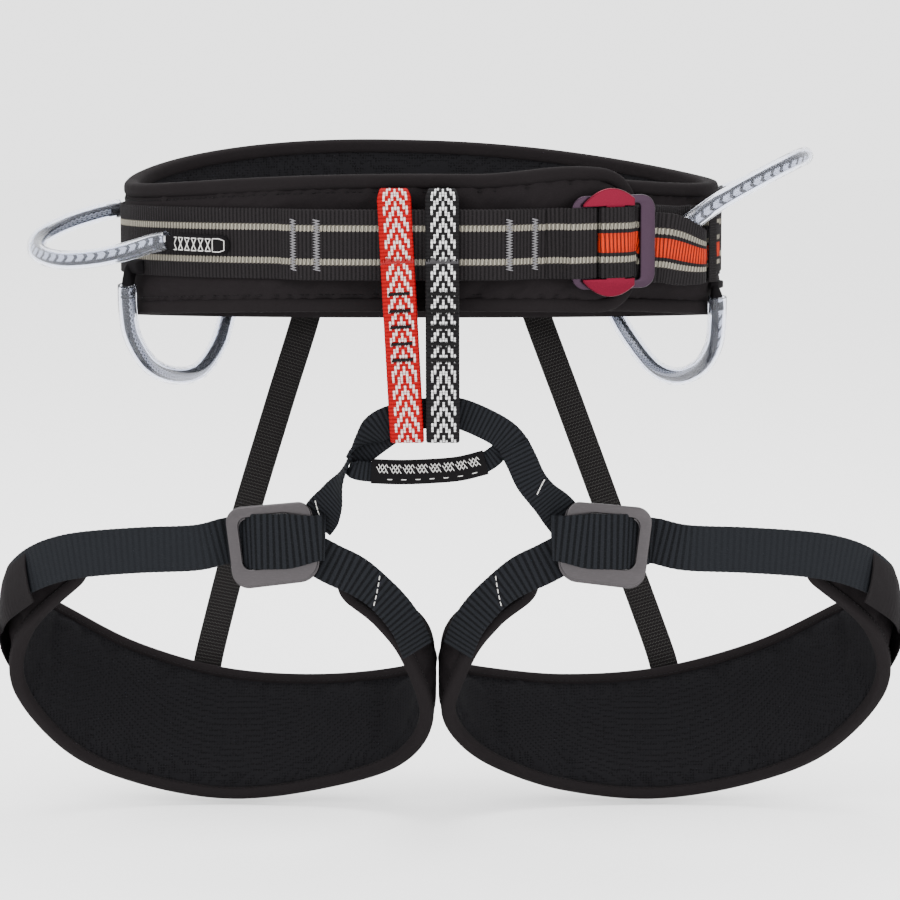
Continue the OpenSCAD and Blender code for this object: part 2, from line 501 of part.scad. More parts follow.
module leg_plate(s, v, t, grow) {
    o = side_of(s, leg_buckle_o);
    sx = s < 0 ? 1 : -1;
    multmatrix([[sx * leg_u[0], sx * leg_w[0], sx * leg_v[0], o[0]],
        [leg_u[1], leg_w[1], leg_v[1], o[1]], [leg_u[2], leg_w[2], leg_v[2], o[2]], [0, 0, 0, 1]])
    translate([0, 0, v]) rotate([0, 0, buckle_lean]) linear_extrude(t) difference() {
        hull() for (e = [-1, 1], c = [[-14.5, 12.5, 9], [16.5, 13.5, 7]])
            translate([c[0], e * c[1]]) circle(c[2] + grow, $fn = 32);
        translate([-17, -16]) square([inner_bar + 17 - 3.2, 32.5]);
    }
}
module leg_buckle_frame(s) { color([0.45, 0.43, 0.45]) leg_plate(s, leg_plate_v, plate_t, 0); }
module leg_buckle_plate(s) { color([0.32, 0.31, 0.33]) leg_plate(s, leg_plate_v - 1.5, 1.2, 0.5); }

module left_leg_shell() { leg_shell(-1); }
module left_leg_foam() { leg_foam(-1); }
module left_leg_liner() { leg_liner(-1); }
module left_leg_binding() { leg_binding(-1); }
module left_leg_strap() { leg_strap(-1); }
module left_leg_inner_webbing() { leg_inner_webbing(-1); }
module left_leg_pocket() { leg_pocket(-1); }
module left_leg_buckle_frame() { leg_buckle_frame(-1); }
module left_leg_buckle_plate() { leg_buckle_plate(-1); }
module right_leg_shell() { leg_shell(1); }
module right_leg_foam() { leg_foam(1); }
module right_leg_liner() { leg_liner(1); }
module right_leg_binding() { leg_binding(1); }
module right_leg_strap() { leg_strap(1); }
module right_leg_inner_webbing() { leg_inner_webbing(1); }
module right_leg_pocket() { leg_pocket(1); }
module right_leg_buckle_frame() { leg_buckle_frame(1); }
module right_leg_buckle_plate() { leg_buckle_plate(1); }

// ---------------------------------------------------------------- drawing
waist_shell();
waist_foam();
waist_liner();
waist_binding();
waist_webbing();
tie_in_webbing();
waist_strap_tail();
waist_keeper();
waist_buckle_frame();
waist_buckle_slider();
red_belay_loop();
black_belay_loop();
front_left_gear_sleeve();
front_left_gear_cord();
front_right_gear_sleeve();
front_right_gear_cord();
rear_left_gear_sleeve();
rear_left_gear_cord();
rear_right_gear_sleeve();
rear_right_gear_cord();
front_left_gear_tabs();
front_right_gear_tabs();
rear_left_gear_tabs();
rear_right_gear_tabs();
bridge_webbing();
lower_tie_in_loop();
tie_in_sleeve();
left_bridge_arm();
right_bridge_arm();
left_riser();
right_riser();
left_leg_shell();
left_leg_foam();
left_leg_liner();
left_leg_binding();
left_leg_strap();
left_leg_inner_webbing();
left_leg_pocket();
left_leg_buckle_frame();
left_leg_buckle_plate();
right_leg_shell();
right_leg_foam();
right_leg_liner();
right_leg_binding();
right_leg_strap();
right_leg_inner_webbing();
right_leg_pocket();
right_leg_buckle_frame();
right_leg_buckle_plate();
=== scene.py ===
import math

import bmesh
import bpy
import numpy as np
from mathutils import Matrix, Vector


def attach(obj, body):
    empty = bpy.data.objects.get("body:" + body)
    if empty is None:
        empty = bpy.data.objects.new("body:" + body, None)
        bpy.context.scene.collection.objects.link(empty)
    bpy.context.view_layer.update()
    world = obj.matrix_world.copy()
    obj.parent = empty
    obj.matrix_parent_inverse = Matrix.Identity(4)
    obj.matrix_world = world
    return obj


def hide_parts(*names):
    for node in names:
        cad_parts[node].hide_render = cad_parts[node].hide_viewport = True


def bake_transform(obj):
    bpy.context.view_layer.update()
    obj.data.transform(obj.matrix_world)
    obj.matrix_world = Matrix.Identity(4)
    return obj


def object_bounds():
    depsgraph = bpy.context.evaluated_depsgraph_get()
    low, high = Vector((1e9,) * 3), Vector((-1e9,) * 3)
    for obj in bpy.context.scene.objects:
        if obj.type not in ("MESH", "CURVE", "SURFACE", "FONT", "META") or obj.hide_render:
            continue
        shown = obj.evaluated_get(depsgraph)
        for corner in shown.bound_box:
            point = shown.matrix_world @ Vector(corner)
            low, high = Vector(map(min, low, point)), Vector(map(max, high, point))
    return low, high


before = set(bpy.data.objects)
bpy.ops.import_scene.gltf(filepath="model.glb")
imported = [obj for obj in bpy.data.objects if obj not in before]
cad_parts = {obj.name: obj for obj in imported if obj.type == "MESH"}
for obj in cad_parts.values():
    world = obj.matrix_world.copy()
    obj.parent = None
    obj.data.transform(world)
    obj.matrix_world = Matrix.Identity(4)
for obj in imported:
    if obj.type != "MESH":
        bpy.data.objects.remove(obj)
cad_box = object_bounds()

# Looks of the climbing harness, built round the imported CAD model. Lengths are millimetres, as in
# the CAD source, until a mesh is made. Most rows of points repeat the CAD source's.
MM = 0.001

WAIST_A = 165          # half the belt's outside width
WAIST_B = 113          # half its depth
WAIST_CX = -9
WAIST_T = 9            # thickness of the padded belt
UNDER_STEP = 10.5      # inward step of the belt end under the tongue
TONGUE_RISE = 6
TONGUE_R = 22
BELT_START = -62       # degrees round the belt
BELT_END = 313.5
PLAN_POWER = 0.91
MM_PER_DEGREE = 2.4
EDGE_IN = 8            # height of the belt's edge binding
LEG_EDGE_IN = 6.5
LEG_T = 8              # thickness of the leg loops
WEB_W = 38
LEG_WEB_W = 25
RISER_W = 16.5
WEB_T = 1.6
WEB_GAP = 0.4
PLATE_T = 2.2          # buckle plates
GAP = 0.3
UP = np.array([0.0, 0.0, 1.0])
TURN = 2 * math.pi
REVERSE = 100          # added to the coordinate across a webbing, on its reverse


# ------------------------ small maths
def unit(v):
    v = np.asarray(v, float)
    return v / np.maximum(np.linalg.norm(v, axis=-1, keepdims=True), 1e-12)


def mix(a, b, u):
    return a + (b - a) * u


def ease(a, b, v):
    u = np.clip((np.asarray(v, float) - a) / (b - a), 0, 1)
    return u * u * (3 - 2 * u)


def signed_pow(v, p):
    return np.sign(v) * np.abs(v) ** p


def sind(t):
    return np.sin(np.radians(t))


def cosd(t):
    return np.cos(np.radians(t))


def circle(count):
    """Cosines and sines of count even angles"""
    q = np.linspace(0, 2 * math.pi, count, endpoint=False)
    return np.cos(q), np.sin(q)


def same_shape(*values):
    """The values as arrays of one shape"""
    return np.broadcast_arrays(*(np.asarray(x, float) for x in values))


def smooth(rows, n, closed=False):
    """Smooth curve through the rows, n steps between rows"""
    p = np.asarray(rows, float)
    m = len(p)
    out = []
    for i in range(m if closed else m - 1):
        at = [(i + k) % m if closed else min(max(i + k, 0), m - 1) for k in (-1, 0, 1, 2)]
        a, b, c, d = p[at]
        u = (np.arange(n) / n)[:, None]
        out.append(0.5 * (2 * b + (c - a) * u + (2 * a - 5 * b + 4 * c - d) * u ** 2
                          + (3 * b - a - 3 * c + d) * u ** 3))
    return np.vstack(out if closed else out + [p[-1:]])


def lengths(points):
    return np.concatenate([[0], np.cumsum(np.linalg.norm(np.diff(points, axis=0), axis=1))])


def closed_up(rows):
    return np.vstack([rows, rows[:1]])


def read_rows(at, s, rows):
    """The rows' values at the places at, where s holds each row's own place"""
    return np.stack([np.interp(at, s, rows[:, k]) for k in range(rows.shape[1])], -1)


def resample(rows, step, closed=False):
    """The rows at even distances of about step"""
    rows = closed_up(rows) if closed else rows
    s = lengths(rows[:, :3])
    out = read_rows(np.linspace(0, s[-1], max(2, int(round(s[-1] / step))) + 1), s, rows)
    return out[:-1] if closed else out


def soften(p, rounds):
    """Takes the sharpness out of a closed path's corners"""
    for _ in range(rounds):
        p = (np.roll(p, 1, 0) + 2 * p + np.roll(p, -1, 0)) / 4
    return p


def tangents(points, closed=False):
    if closed:
        return unit(np.roll(points, -1, 0) - np.roll(points, 1, 0))
    return unit(np.gradient(points, axis=0))


# ------------------------ mesh making
def link(name, data):
    obj = bpy.data.objects.new(name, data)
    bpy.context.scene.collection.objects.link(obj)
    return obj


def solid_mesh(name, points, faces, uvs=None):
    """Mesh with its faces turned outwards"""
    mesh = bpy.data.meshes.new(name)
    mesh.from_pydata(points.tolist(), [], faces)
    if uvs is not None:
        mesh.uv_layers.new(name="cloth").data.foreach_set("uv", np.asarray(uvs, float).ravel())
    shape = bmesh.new()
    shape.from_mesh(mesh)
    bmesh.ops.recalc_face_normals(shape, faces=shape.faces)
    shape.to_mesh(mesh)
    shape.free()
    return mesh


def piece(name, points, faces, look, body, nodes=(), uvs=None, sharp=None, bend=None):
    """A finished mesh object. bend is (start, end) for a piece that reaches from the belt to body;
    start and end are not used: such a piece stays where it is and is not attached to body.
    """
    mesh = solid_mesh(name, np.asarray(points, float).reshape(-1, 3) * MM, faces, uvs)
    mesh.shade_smooth()
    if sharp:
        mesh.set_sharp_from_angle(angle=math.radians(sharp))
    mesh.materials.append(look.material)
    obj = link(name, mesh)
    if bend:
        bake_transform(obj)
    else:
        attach(obj, body)
    if nodes:
        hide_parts(*nodes)
    return obj


def sections(path, side, rise, a, b):
    """Points of a section at each step of a path: a along side and b along rise"""
    return path[:, None] + side[:, None] * a[..., None] + rise[:, None] * b[..., None]


def tube_faces(rings, sides, closed=False, caps=True):
    """Faces of a swept section's wall and of its two ends"""
    faces = []
    for i in range(rings if closed else rings - 1):
        a, b = i * sides, (i + 1) % rings * sides
        for j in range(sides):
            k = (j + 1) % sides
            faces.append((a + j, a + k, b + k, b + j))
    if caps and not closed:
        faces += [tuple(range(sides)), tuple(range((rings - 1) * sides, rings * sides))]
    return faces


def tube_uvs(along, around, closed=False):
    """Corner coordinates to go with tube_faces: along has one value a ring and one more if closed,
    around is one (start, end) a side"""
    out = []
    for s, t in zip(along[:-1], along[1:]):
        for a, b in around:
            out += [(s, a), (s, b), (t, b), (t, a)]
    if not closed:
        out += [(s, a) for s in (along[0], along[-1]) for a, _ in around]
    return out


class Ribbon:
    """Webbing swept along rows of [x, y, z, across x, y, z], with its ribs in relief"""

    def __init__(self, rows, width, thick, pitch=2.2, relief=0.18, closed=False, front=1, steps=8):
        path = resample(smooth(rows, steps, closed), pitch / 4, closed)
        if closed:
            even = np.linspace(0, len(path), len(path) // 4 * 4 + 1)[:-1]
            path = read_rows(even, np.arange(len(path) + 1), closed_up(path))
        self.mid, self.closed, self.width, self.thick = path[:, :3], closed, width, thick
        along = tangents(self.mid, closed)
        self.face = unit(np.cross(along, path[:, 3:])) * front
        self.side = unit(np.cross(self.face, along)) * front
        self.s = lengths(self.mid)
        self.relief = relief
        self.spread = 1.0         # share of the full width, at each step or all along

    def at(self, u, v, h=0.0):
        """Point at distance u along, v across and h above the front face, and the normal there"""
        u, v, h = same_shape(u, v, h)
        mid, side, face = (read_rows(u, self.s, a) for a in (self.mid, self.side, self.face))
        return mid + v[..., None] * side + (self.thick / 2 + h)[..., None] * face, face

    def nearest(self, point):
        return self.s[np.argmin(np.linalg.norm(self.mid - np.asarray(point, float), axis=1))]

    def build(self, name, look, body, nodes=(), bend=None, crown=0.0):
        n, r = len(self.mid), self.thick / 2
        flat = self.width / 2 - r
        half = [(v, r) for v in np.linspace(-flat, flat, max(4, int(self.width / 4)))]
        half += [(flat + r * math.cos(q), r * math.sin(q)) for q in np.radians([50, 0, -50])]
        v, h = np.array(half + [(-v, -h) for v, h in half]).T
        rib = 0.5 - 0.5 * np.cos(math.pi / 2 * np.arange(n))
        dip = (1 - self.relief * rib / r)[:, None]
        wave = (self.spread - 0.012 * rib)[:, None]
        lift = h * dip - crown * np.abs(2 * v / self.width) ** 3
        points = sections(self.mid, self.side, self.face, v * wave, lift)
        back = np.where(h + np.roll(h, -1) < -1e-6, REVERSE, 0)
        around = list(zip(v + back, np.roll(v, -1) + back))
        ribs = np.arange(n + self.closed) / 4
        return piece(name, points, tube_faces(n, len(v), self.closed), look, body, nodes,
                     tube_uvs(ribs, around, self.closed), bend=bend)


def edge_tape(name, path, lie, width, thick, body, node):
    """Binding round a closed path: width lies in the fabric, thick along its normal lie"""
    sides = 18
    along = tangents(path, True)
    rise = unit(np.cross(np.cross(along, lie), along))
    a, b = (size / 2 * signed_pow(x, 2 / 3) for size, x in zip((width, thick), circle(sides)))
    girth = lengths(closed_up(np.stack([a, b], 1)))
    uvs = tube_uvs(lengths(closed_up(path)), list(zip(girth[:-1], girth[1:])), True)
    piece(name, sections(path, np.cross(along, rise), rise, a, b),
          tube_faces(len(path), sides, True), binding_look, body, [node], uvs)


def skin_faces(n, m):
    """Faces of the solid between two grids of n by m points"""
    size = n * m
    grid = np.arange(size).reshape(n, m).tolist()
    faces = []
    for row, above in zip(grid, grid[1:]):
        for a, b, c, d in zip(row, row[1:], above[1:], above):
            faces += [(a, b, c, d), (size + d, size + c, size + b, size + a)]
    start, end = [row[0] for row in grid], [row[-1] for row in grid]
    rim = grid[0][:-1] + end[:-1] + grid[-1][:0:-1] + start[:0:-1]
    return faces + [(a, size + a, size + b, b) for a, b in zip(rim, rim[1:] + rim[:1])]


def slab(name, low, high, look, body, nodes=()):
    """Closed layer of fabric between two grids of points"""
    return piece(name, np.stack([low, high]), skin_faces(*low.shape[:2]), look, body, nodes)


class Threads:
    """Sewing threads, gathered in one mesh. A surface is a function of u, v and height that
    gives points and normals"""

    def __init__(self, radius=0.3, sides=5):
        self.radius, self.sides, self.points, self.faces = radius, sides, [], []

    def run(self, points, normals):
        along = tangents(points)
        side = unit(np.cross(along, normals))
        a, b = circle(self.sides)
        rings = sections(points, side, np.cross(side, along), self.radius * a, self.radius * b)
        first = len(self.points)
        self.points += rings.reshape(-1, 3).tolist()
        self.faces += [tuple(first + k for k in f) for f in tube_faces(len(points), self.sides)]

    def zigzag(self, surface, u, v0, v1, width, pitch, across=False):
        """Bar tack at u from v0 to v1, or along u from v0 to v1 if across"""
        n = int(round(abs(v1 - v0) / pitch * 2))
        k = np.arange(2 * n + 1)
        place = u + width / 2 * np.array([1, 0, -1, 0])[k % 4]
        run = np.linspace(v0, v1, 2 * n + 1)
        h = np.where(k % 2 == 0, 0.0, 0.3)
        self.run(*(surface(run, place, h) if across else surface(place, run, h)))

    def dashes(self, surface, us, v, length):
        """Row of stitches at the places us"""
        shape = np.array([-0.5, -0.28, 0.28, 0.5]) * length
        for u in us:
            self.run(*surface(u + shape, v, np.array([-0.35, 0.22, 0.22, -0.35])))

    def line(self, surface, corners):
        """Thread through the (u, v) corners"""
        u, v = np.asarray(corners, float).T
        self.run(*surface(u, v, 0.15))

    def build(self, name, look, body, bend=None):
        piece(name, self.points, self.faces, look, body, bend=bend)


def plate(name, outlines, thick, edge, origin, axes, look, body, node):
    """Flat plate with rounded edges: outlines are an outer one and holes, axes are u, w and outwards"""
    curve = bpy.data.curves.new(name, "CURVE")
    curve.dimensions = "2D"
    curve.fill_mode = "BOTH"
    curve.extrude = thick / 2 - edge
    curve.bevel_depth = edge
    curve.bevel_resolution = 3
    curve.offset = -edge
    for outline in outlines:
        spline = curve.splines.new("POLY")
        spline.points.add(len(outline) - 1)
        for p, (x, y) in zip(spline.points, outline):
            p.co = (x, y, 0, 1)
        spline.use_cyclic_u = True
    holder = link(name + "_curve", curve)
    mesh = bpy.data.meshes.new_from_object(
        holder.evaluated_get(bpy.context.evaluated_depsgraph_get()))
    shape = bmesh.new()
    shape.from_mesh(mesh)
    bmesh.ops.remove_doubles(shape, verts=shape.verts, dist=0.001)
    shape.verts.ensure_lookup_table()
    x, y, z = np.array([v.co for v in shape.verts]).T[..., None]
    faces = [tuple(v.index for v in f.verts) for f in shape.faces]
    shape.free()
    bpy.data.objects.remove(holder)
    bpy.data.meshes.remove(mesh)
    points = origin + x * axes[0] + y * axes[1] + (z + thick / 2) * axes[2]
    piece(name, points, faces, look, body, [node], sharp=35)


def rounded_rect(x0, x1, y0, y1, r, count=8):
    out = []
    for cx, cy, start in ((x1 - r, y1 - r, 0), (x0 + r, y1 - r, 90), (x0 + r, y0 + r, 180),
                          (x1 - r, y0 + r, 270)):
        for q in np.linspace(start, start + 90, count):
            out.append((cx + r * cosd(q), cy + r * sind(q)))
    return out


def hull(points):
    """Convex outline round the points"""
    points = sorted(set(points))
    outline = []
    for order in (points, points[::-1]):
        line = []
        for p in order:
            while len(line) > 1 and ((line[-1][0] - line[-2][0]) * (p[1] - line[-2][1])
                                     - (line[-1][1] - line[-2][1]) * (p[0] - line[-2][0])) <= 1e-9:
                line.pop()
            line.append(p)
        outline += line[:-1]
    return outline


# ------------------------ materials
class Field:
    """A number that varies over a surface"""

    def __init__(self, look, socket):
        self.look, self.socket = look, socket

    def step(self, low, high):
        """0 below low, 1 above high, soft in between"""
        node = self.look.add("MapRange", interpolation_type="SMOOTHSTEP")
        return self.look.feed(node, self, low, high)

    def flip(self):
        return self.look.math("SUBTRACT", 1.0, self)

    def band(self, centre, half, soft):
        """1 within half of centre"""
        return (self - centre).abs().step(half - soft, half + soft).flip()


for method, operation in (("__add__", "ADD"), ("__sub__", "SUBTRACT"), ("__mul__", "MULTIPLY"),
                          ("__truediv__", "DIVIDE"), ("sin", "SINE"), ("abs", "ABSOLUTE"),
                          ("floor", "FLOOR"), ("fract", "FRACT")):
    setattr(Field, method,
            lambda self, *others, kind=operation: self.look.math(kind, self, *others))


class Look:
    """A material built up from fields; its record slot is kept on the look but not used"""

    def __init__(self, name, colour, slot=None, rough=0.75, specular=0.5, metal=0, clear=0, ior=1.5):
        self.material = bpy.data.materials.new(name)
        self.material.use_nodes = True
        self.tree = self.material.node_tree
        self.shader = self.tree.nodes["Principled BSDF"]
        self.slot, self.colour, self.normal = slot, (*colour, 1), None
        for key, value in (("Base Color", self.colour), ("Roughness", rough), ("IOR", ior),
                           ("Specular IOR Level", specular), ("Metallic", metal),
                           ("Transmission Weight", clear)):
            self.shader.inputs[key].default_value = value

    def add(self, kind, **settings):
        node = self.tree.nodes.new("ShaderNode" + kind)
        for key, value in settings.items():
            setattr(node, key, value)
        return node

    def put(self, socket, value):
        if isinstance(value, Field):
            self.tree.links.new(value.socket, socket)
        else:
            socket.default_value = value

    def feed(self, node, *values):
        """The values into the node's first sockets, and what comes out of it"""
        for socket, value in zip(node.inputs, values):
            self.put(socket, value)
        return Field(self, node.outputs[0])

    def math(self, kind, *values):
        return self.feed(self.add("Math", operation=kind), *values)

    def cloth(self):
        """Rib count along the webbing, millimetres across it, and 1 on its reverse"""
        split = self.add("SeparateXYZ")
        along = self.feed(split, Field(self, self.add("UVMap", uv_map="cloth").outputs[0]))
        across = Field(self, split.outputs[1])
        back = across.step(REVERSE / 2 - 1, REVERSE / 2 + 1)
        return along, across - back * REVERSE, back

    def place(self):
        """Place on the piece, in millimetres"""
        scale = self.add("VectorMath", operation="SCALE")
        scale.inputs["Scale"].default_value = 1000
        return self.feed(scale, Field(self, self.add("TexCoord").outputs["Object"]))

    def noise(self, size, detail=2.0, stretch=(1, 1, 1)):
        node = self.add("TexNoise")
        squeeze = self.feed(self.add("VectorMath", operation="MULTIPLY"), self.place(), stretch)
        self.put(node.inputs["Vector"], squeeze)
        node.inputs["Scale"].default_value = 1 / size
        node.inputs["Detail"].default_value = detail
        return Field(self, node.outputs["Fac"])

    def tint(self, mask, colour):
        node = self.add("Mix", data_type="RGBA")
        for number, value in ((0, mask), (6, self.colour), (7, (*colour, 1))):
            self.put(node.inputs[number], value)
        self.colour = Field(self, node.outputs[2])
        self.put(self.shader.inputs["Base Color"], self.colour)

    def relief(self, height, depth):
        node = self.add("Bump")
        node.inputs["Strength"].default_value = 1.0
        node.inputs["Distance"].default_value = depth * MM
        self.put(node.inputs["Height"], height)
        if self.normal:
            self.put(node.inputs["Normal"], self.normal)
        self.normal = Field(self, node.outputs[0])
        self.put(self.shader.inputs["Normal"], self.normal)


def shade(colour, share):
    return tuple(share * c for c in colour)


def webbing(name, slot, colour, stripes=(), dark=0.75, yarn=1.1, slack=0):
    """Woven webbing: yarns over the ribs, with painted shade in the grooves between them. stripes are
    (centre, half height, colour, back) rows; back is True on the webbing's reverse.
    dark is the strength of that painted shade; the first slack ribs lie slack and get only 0.3 of it"""
    look = Look(name, colour, slot, 0.8, 0.05)
    rib, flat, back = look.cloth()
    phase = (rib * TURN + math.pi / 2).sin()
    on_rib = phase.step(-0.9, 0.5)
    slant = ((rib + flat * 0.07).fract() - 0.5).abs().step(0.0, 0.14)
    for centre, half, tint, reverse in stripes:
        line = flat.abs() - centre + phase * 0.3 if centre else flat
        look.tint(line.band(0, half, 0.12) * slant * (back if reverse else back.flip()), tint)
    yarns = (flat * (TURN / yarn) + rib.floor() * math.pi).sin()
    # Painted shade in the grooves between the ribs: dark in full, 0.3 of dark over the slack ribs
    groove_shade = rib.step(slack, slack + 6) * (dark * 0.7) + dark * 0.3 if slack else dark
    look.tint(on_rib.flip() * groove_shade, shade(colour, 0.2))
    look.tint(look.noise(0.7, 3).step(0.45, 0.75) * 0.18, shade(colour, 2.2))
    look.relief(on_rib * 0.7 + yarns * 0.3, 0.16)
    return look


def chevron_webbing(name, slot, ground, figure):
    """Belay loop webbing: a stepped arrow pattern of light dashes over the middle"""
    look = Look(name, ground, slot, 0.75, 0.06)
    rib, across, _ = look.cloth()
    flat = across + 0.5
    place = flat.abs() / 1.5 + 0.5
    tooth = ((rib * 2.0 + place.floor() * 2.8) / 8.8).fract()
    gap = (place.fract() - 0.5).abs().step(0.33, 0.42)
    inside = flat.abs().step(6.6, 6.9).flip()
    mask = (tooth - 0.5).abs().step(0.24, 0.28).flip() * gap.flip() * inside
    look.tint(mask, figure)
    phase = (rib * TURN + math.pi / 2).sin()
    # Painted shade in the grooves between the ribs
    look.tint(phase.step(-0.9, 0.3).flip() * 0.5, shade(ground, 0.3))
    yarns = (flat * (TURN / 0.9)).sin()
    look.relief(phase * 0.4 + yarns * 0.3 + mask * 0.8, 0.2)
    return look


def elastic(name, slot, colour, light, pitch):
    """Elastic webbing with a bird's-eye weave"""
    look = Look(name, colour, slot, 0.8, 0.05)
    rib, flat, _ = look.cloth()
    cell = flat / pitch + rib.floor() * 0.5
    eye = (cell.fract() - 0.5).abs().step(0.225, 0.5) * (rib.fract() - 0.5).abs()
    eye = eye.step(0.1, 0.35)
    look.tint(eye * 0.85, light)
    look.relief(eye + (rib * TURN).sin() * 0.3, 0.15)
    return look


def soft_shell(name, slot, colour):
    """Close-woven matt fabric with a faint nap"""
    look = Look(name, colour, slot, 0.9, 0.04)
    fine, broad = look.noise(0.5, 4), look.noise(14, 3)
    look.tint(fine.step(0.45, 0.8) * 0.35, shade(colour, 1.9))
    look.tint(broad.step(0.5, 0.8) * 0.3, shade(colour, 1.35))
    look.relief(fine, 0.12)
    look.relief(broad, 0.8)
    return look


def mesh_fabric(name, slot, colour):
    """Spacer mesh with small round holes, which get painted shade"""
    look = Look(name, colour, slot, 0.9, 0.04)
    cells = look.add("TexVoronoi", feature="F1")
    look.put(cells.inputs["Vector"], look.place())
    cells.inputs["Scale"].default_value = 1 / 1.5
    cells.inputs["Randomness"].default_value = 0.25
    hole = Field(look, cells.outputs["Distance"]).step(0.18, 0.42).flip()
    # Painted shade in the holes, darker than the mesh
    look.tint(hole * 0.8, shade(colour, 0.25))
    look.tint(look.noise(0.35, 2).step(0.5, 0.8) * 0.3, shade(colour, 2))
    look.relief(hole * -1.0, 0.3)
    look.relief(look.noise(18, 2), 1.0)
    return look


def anodised(name, slot, colour, rough=0.34):
    """Anodised metal: fine brushing, with darker blotches at random"""
    look = Look(name, colour, slot, rough, metal=0.9)
    brush = look.noise(0.5, 4, (0.15, 1, 1))
    look.tint(brush.step(0.4, 0.8) * 0.25, shade(colour, 1.7))
    look.tint(look.noise(8, 4).step(0.6, 0.8) * 0.25, shade(colour, 0.6))
    look.put(look.shader.inputs["Roughness"], brush * 0.22 + (rough - 0.1))
    look.relief(brush, 0.03)
    return look


def thread_look(name, colour):
    look = Look(name, colour, rough=0.7, specular=0.15)
    look.tint(look.noise(0.35, 2).step(0.4, 0.7) * 0.45, shade(colour, 0.45))
    look.relief(look.noise(0.25, 2), 0.1)
    return look


def tracer_cord(name, slot, colour, tracer):
    """Plaited cord, silvery on one side with black hooks, black on the other with light marks"""
    look = Look(name, colour, slot, 0.65, 0.2)
    along, around, _ = look.cloth()
    girth = TURN * CORD_R
    line = ((around / girth).fract() - 0.52) * girth
    serration = (along * (TURN / 1.3)).sin() * 0.35
    light = (line + serration).band(0, 2.0, 0.2)
    cell = ((along / 6.6).fract() - 0.5) * 6.6
    hook = (cell - line.abs() * 0.9).band(0, 1.2, 0.15)
    look.tint(light * hook.flip(), tracer)
    link_place = ((along / 3.3).fract() - 0.5) * 3.3
    chain = (line.abs() - (girth / 2 - 0.5)).abs() - link_place.abs() * 0.6
    look.tint(chain.band(0, 0.4, 0.15) * light.flip(), shade(tracer, 0.8))
    there, back = along * (TURN / 1.6), around * (TURN / 1.7)
    plait = (there + back).sin() * (there - back).sin()
    look.tint(plait.step(0.1, 0.8) * light * 0.35, shade(tracer, 0.45))
    look.relief(plait, 0.25)
    return look


BLACK = (0.0080, 0.0067, 0.0072)
CHARCOAL = (0.0082, 0.0090, 0.0108)
WARM_GREY = (0.0110, 0.0097, 0.0103)
BEIGE = (0.24, 0.222, 0.18)
ORANGE = (0.42, 0.022, 0.003)
CORD_R = 3.0

shell_look = soft_shell("soft_shell", "shell_fabric", BLACK)
foam_look = soft_shell("closed_foam", "foam", (0.008, 0.008, 0.009))
liner_look = mesh_fabric("spacer_mesh", "mesh_lining", (0.0062, 0.0060, 0.0068))
binding_look = soft_shell("binding", "binding_tape", (0.0076, 0.0064, 0.0068))
striped_look = webbing("striped", "striped_webbing", WARM_GREY,
                       [(9, 1.6, BEIGE, False), (0, 5.2, ORANGE, True), (9, 1.6, BEIGE, True)])
tie_in_look = webbing("tie_in", "striped_webbing", WARM_GREY, [(9, 1.6, BEIGE, False)])
charcoal_look = webbing("charcoal", "charcoal_webbing", CHARCOAL, dark=0.85)
strap_look = webbing("charcoal_strap", "charcoal_webbing", CHARCOAL, dark=0.85, slack=40)
keeper_look = webbing("keeper_elastic", "black_elastic", (0.0078, 0.0068, 0.0072), dark=0.4, yarn=0.8)
riser_look = elastic("riser_elastic", "black_elastic", (0.0062, 0.0056, 0.0056),
                     (0.05, 0.048, 0.046), 1.9)
red_look = chevron_webbing("red_chevron", "red_webbing", (0.25, 0.0015, 0.003), (0.62, 0.56, 0.54))
black_look = chevron_webbing("black_chevron", "black_white_webbing", (0.007, 0.0065, 0.007),
                             (0.66, 0.66, 0.66))
frame_look = anodised("violet_metal", "violet_anodised", (0.027, 0.015, 0.025))
slider_look = anodised("red_metal", "red_anodised", (0.084, 0.0022, 0.011), rough=0.3)
leg_frame_look = anodised("gunmetal_plate", "gunmetal", (0.048, 0.044, 0.046))
cord_look = tracer_cord("tracer_cord", "black_cord", (0.006, 0.006, 0.008), (0.66, 0.67, 0.71))
white_thread, grey_thread, black_thread, dark_grey_thread, red_thread = (
    thread_look(name + "_thread", colour) for name, colour in (
        ("white", (0.55, 0.54, 0.52)), ("grey", (0.17, 0.165, 0.175)),
        ("black", (0.0025, 0.0022, 0.0025)), ("dark_grey", (0.055, 0.053, 0.056)),
        ("red", (0.28, 0.014, 0.016))))
tab_look = webbing("tab_webbing", "black_elastic", (0.0045, 0.004, 0.0045))
sleeve_look = soft_shell("sleeve_fabric", "shell_fabric", (0.0045, 0.0042, 0.0045))
pocket_look = soft_shell("pocket_cloth", "shell_fabric", (0.0075, 0.0066, 0.007))
tube_look = Look("clear_tube", (0.84, 0.87, 0.97), "clear_tube", 0.05, clear=0.98, ior=1.25)
tube_look.relief(tube_look.noise(9, 2), 0.15)


# ------------------------ belt
def belt_step(t):
    return -UNDER_STEP * (1 - ease(-42, 0, t))


def plan_normal(t):
    t = np.asarray(t, float)
    return unit(np.stack([signed_pow(cosd(t), 2 - PLAN_POWER) / WAIST_A,
                          signed_pow(sind(t), 2 - PLAN_POWER) / WAIST_B, 0 * t], -1))


def plan(t, off, z):
    t, off, z = same_shape(t, off, z)
    p = np.stack([WAIST_CX + WAIST_A * signed_pow(cosd(t), PLAN_POWER),
                  WAIST_B * signed_pow(sind(t), PLAN_POWER), z], -1)
    return p + (off + belt_step(t))[..., None] * plan_normal(t)


def belt_top(t):
    return (44 + 3.5 * sind(t) - 6.5 * cosd(2 * t) - 6 * cosd(t) * np.maximum(0, sind(t))
            + TONGUE_RISE * ease(278, 300, t))


def belt_bottom(t):
    return -38 - 11.5 * sind(t)


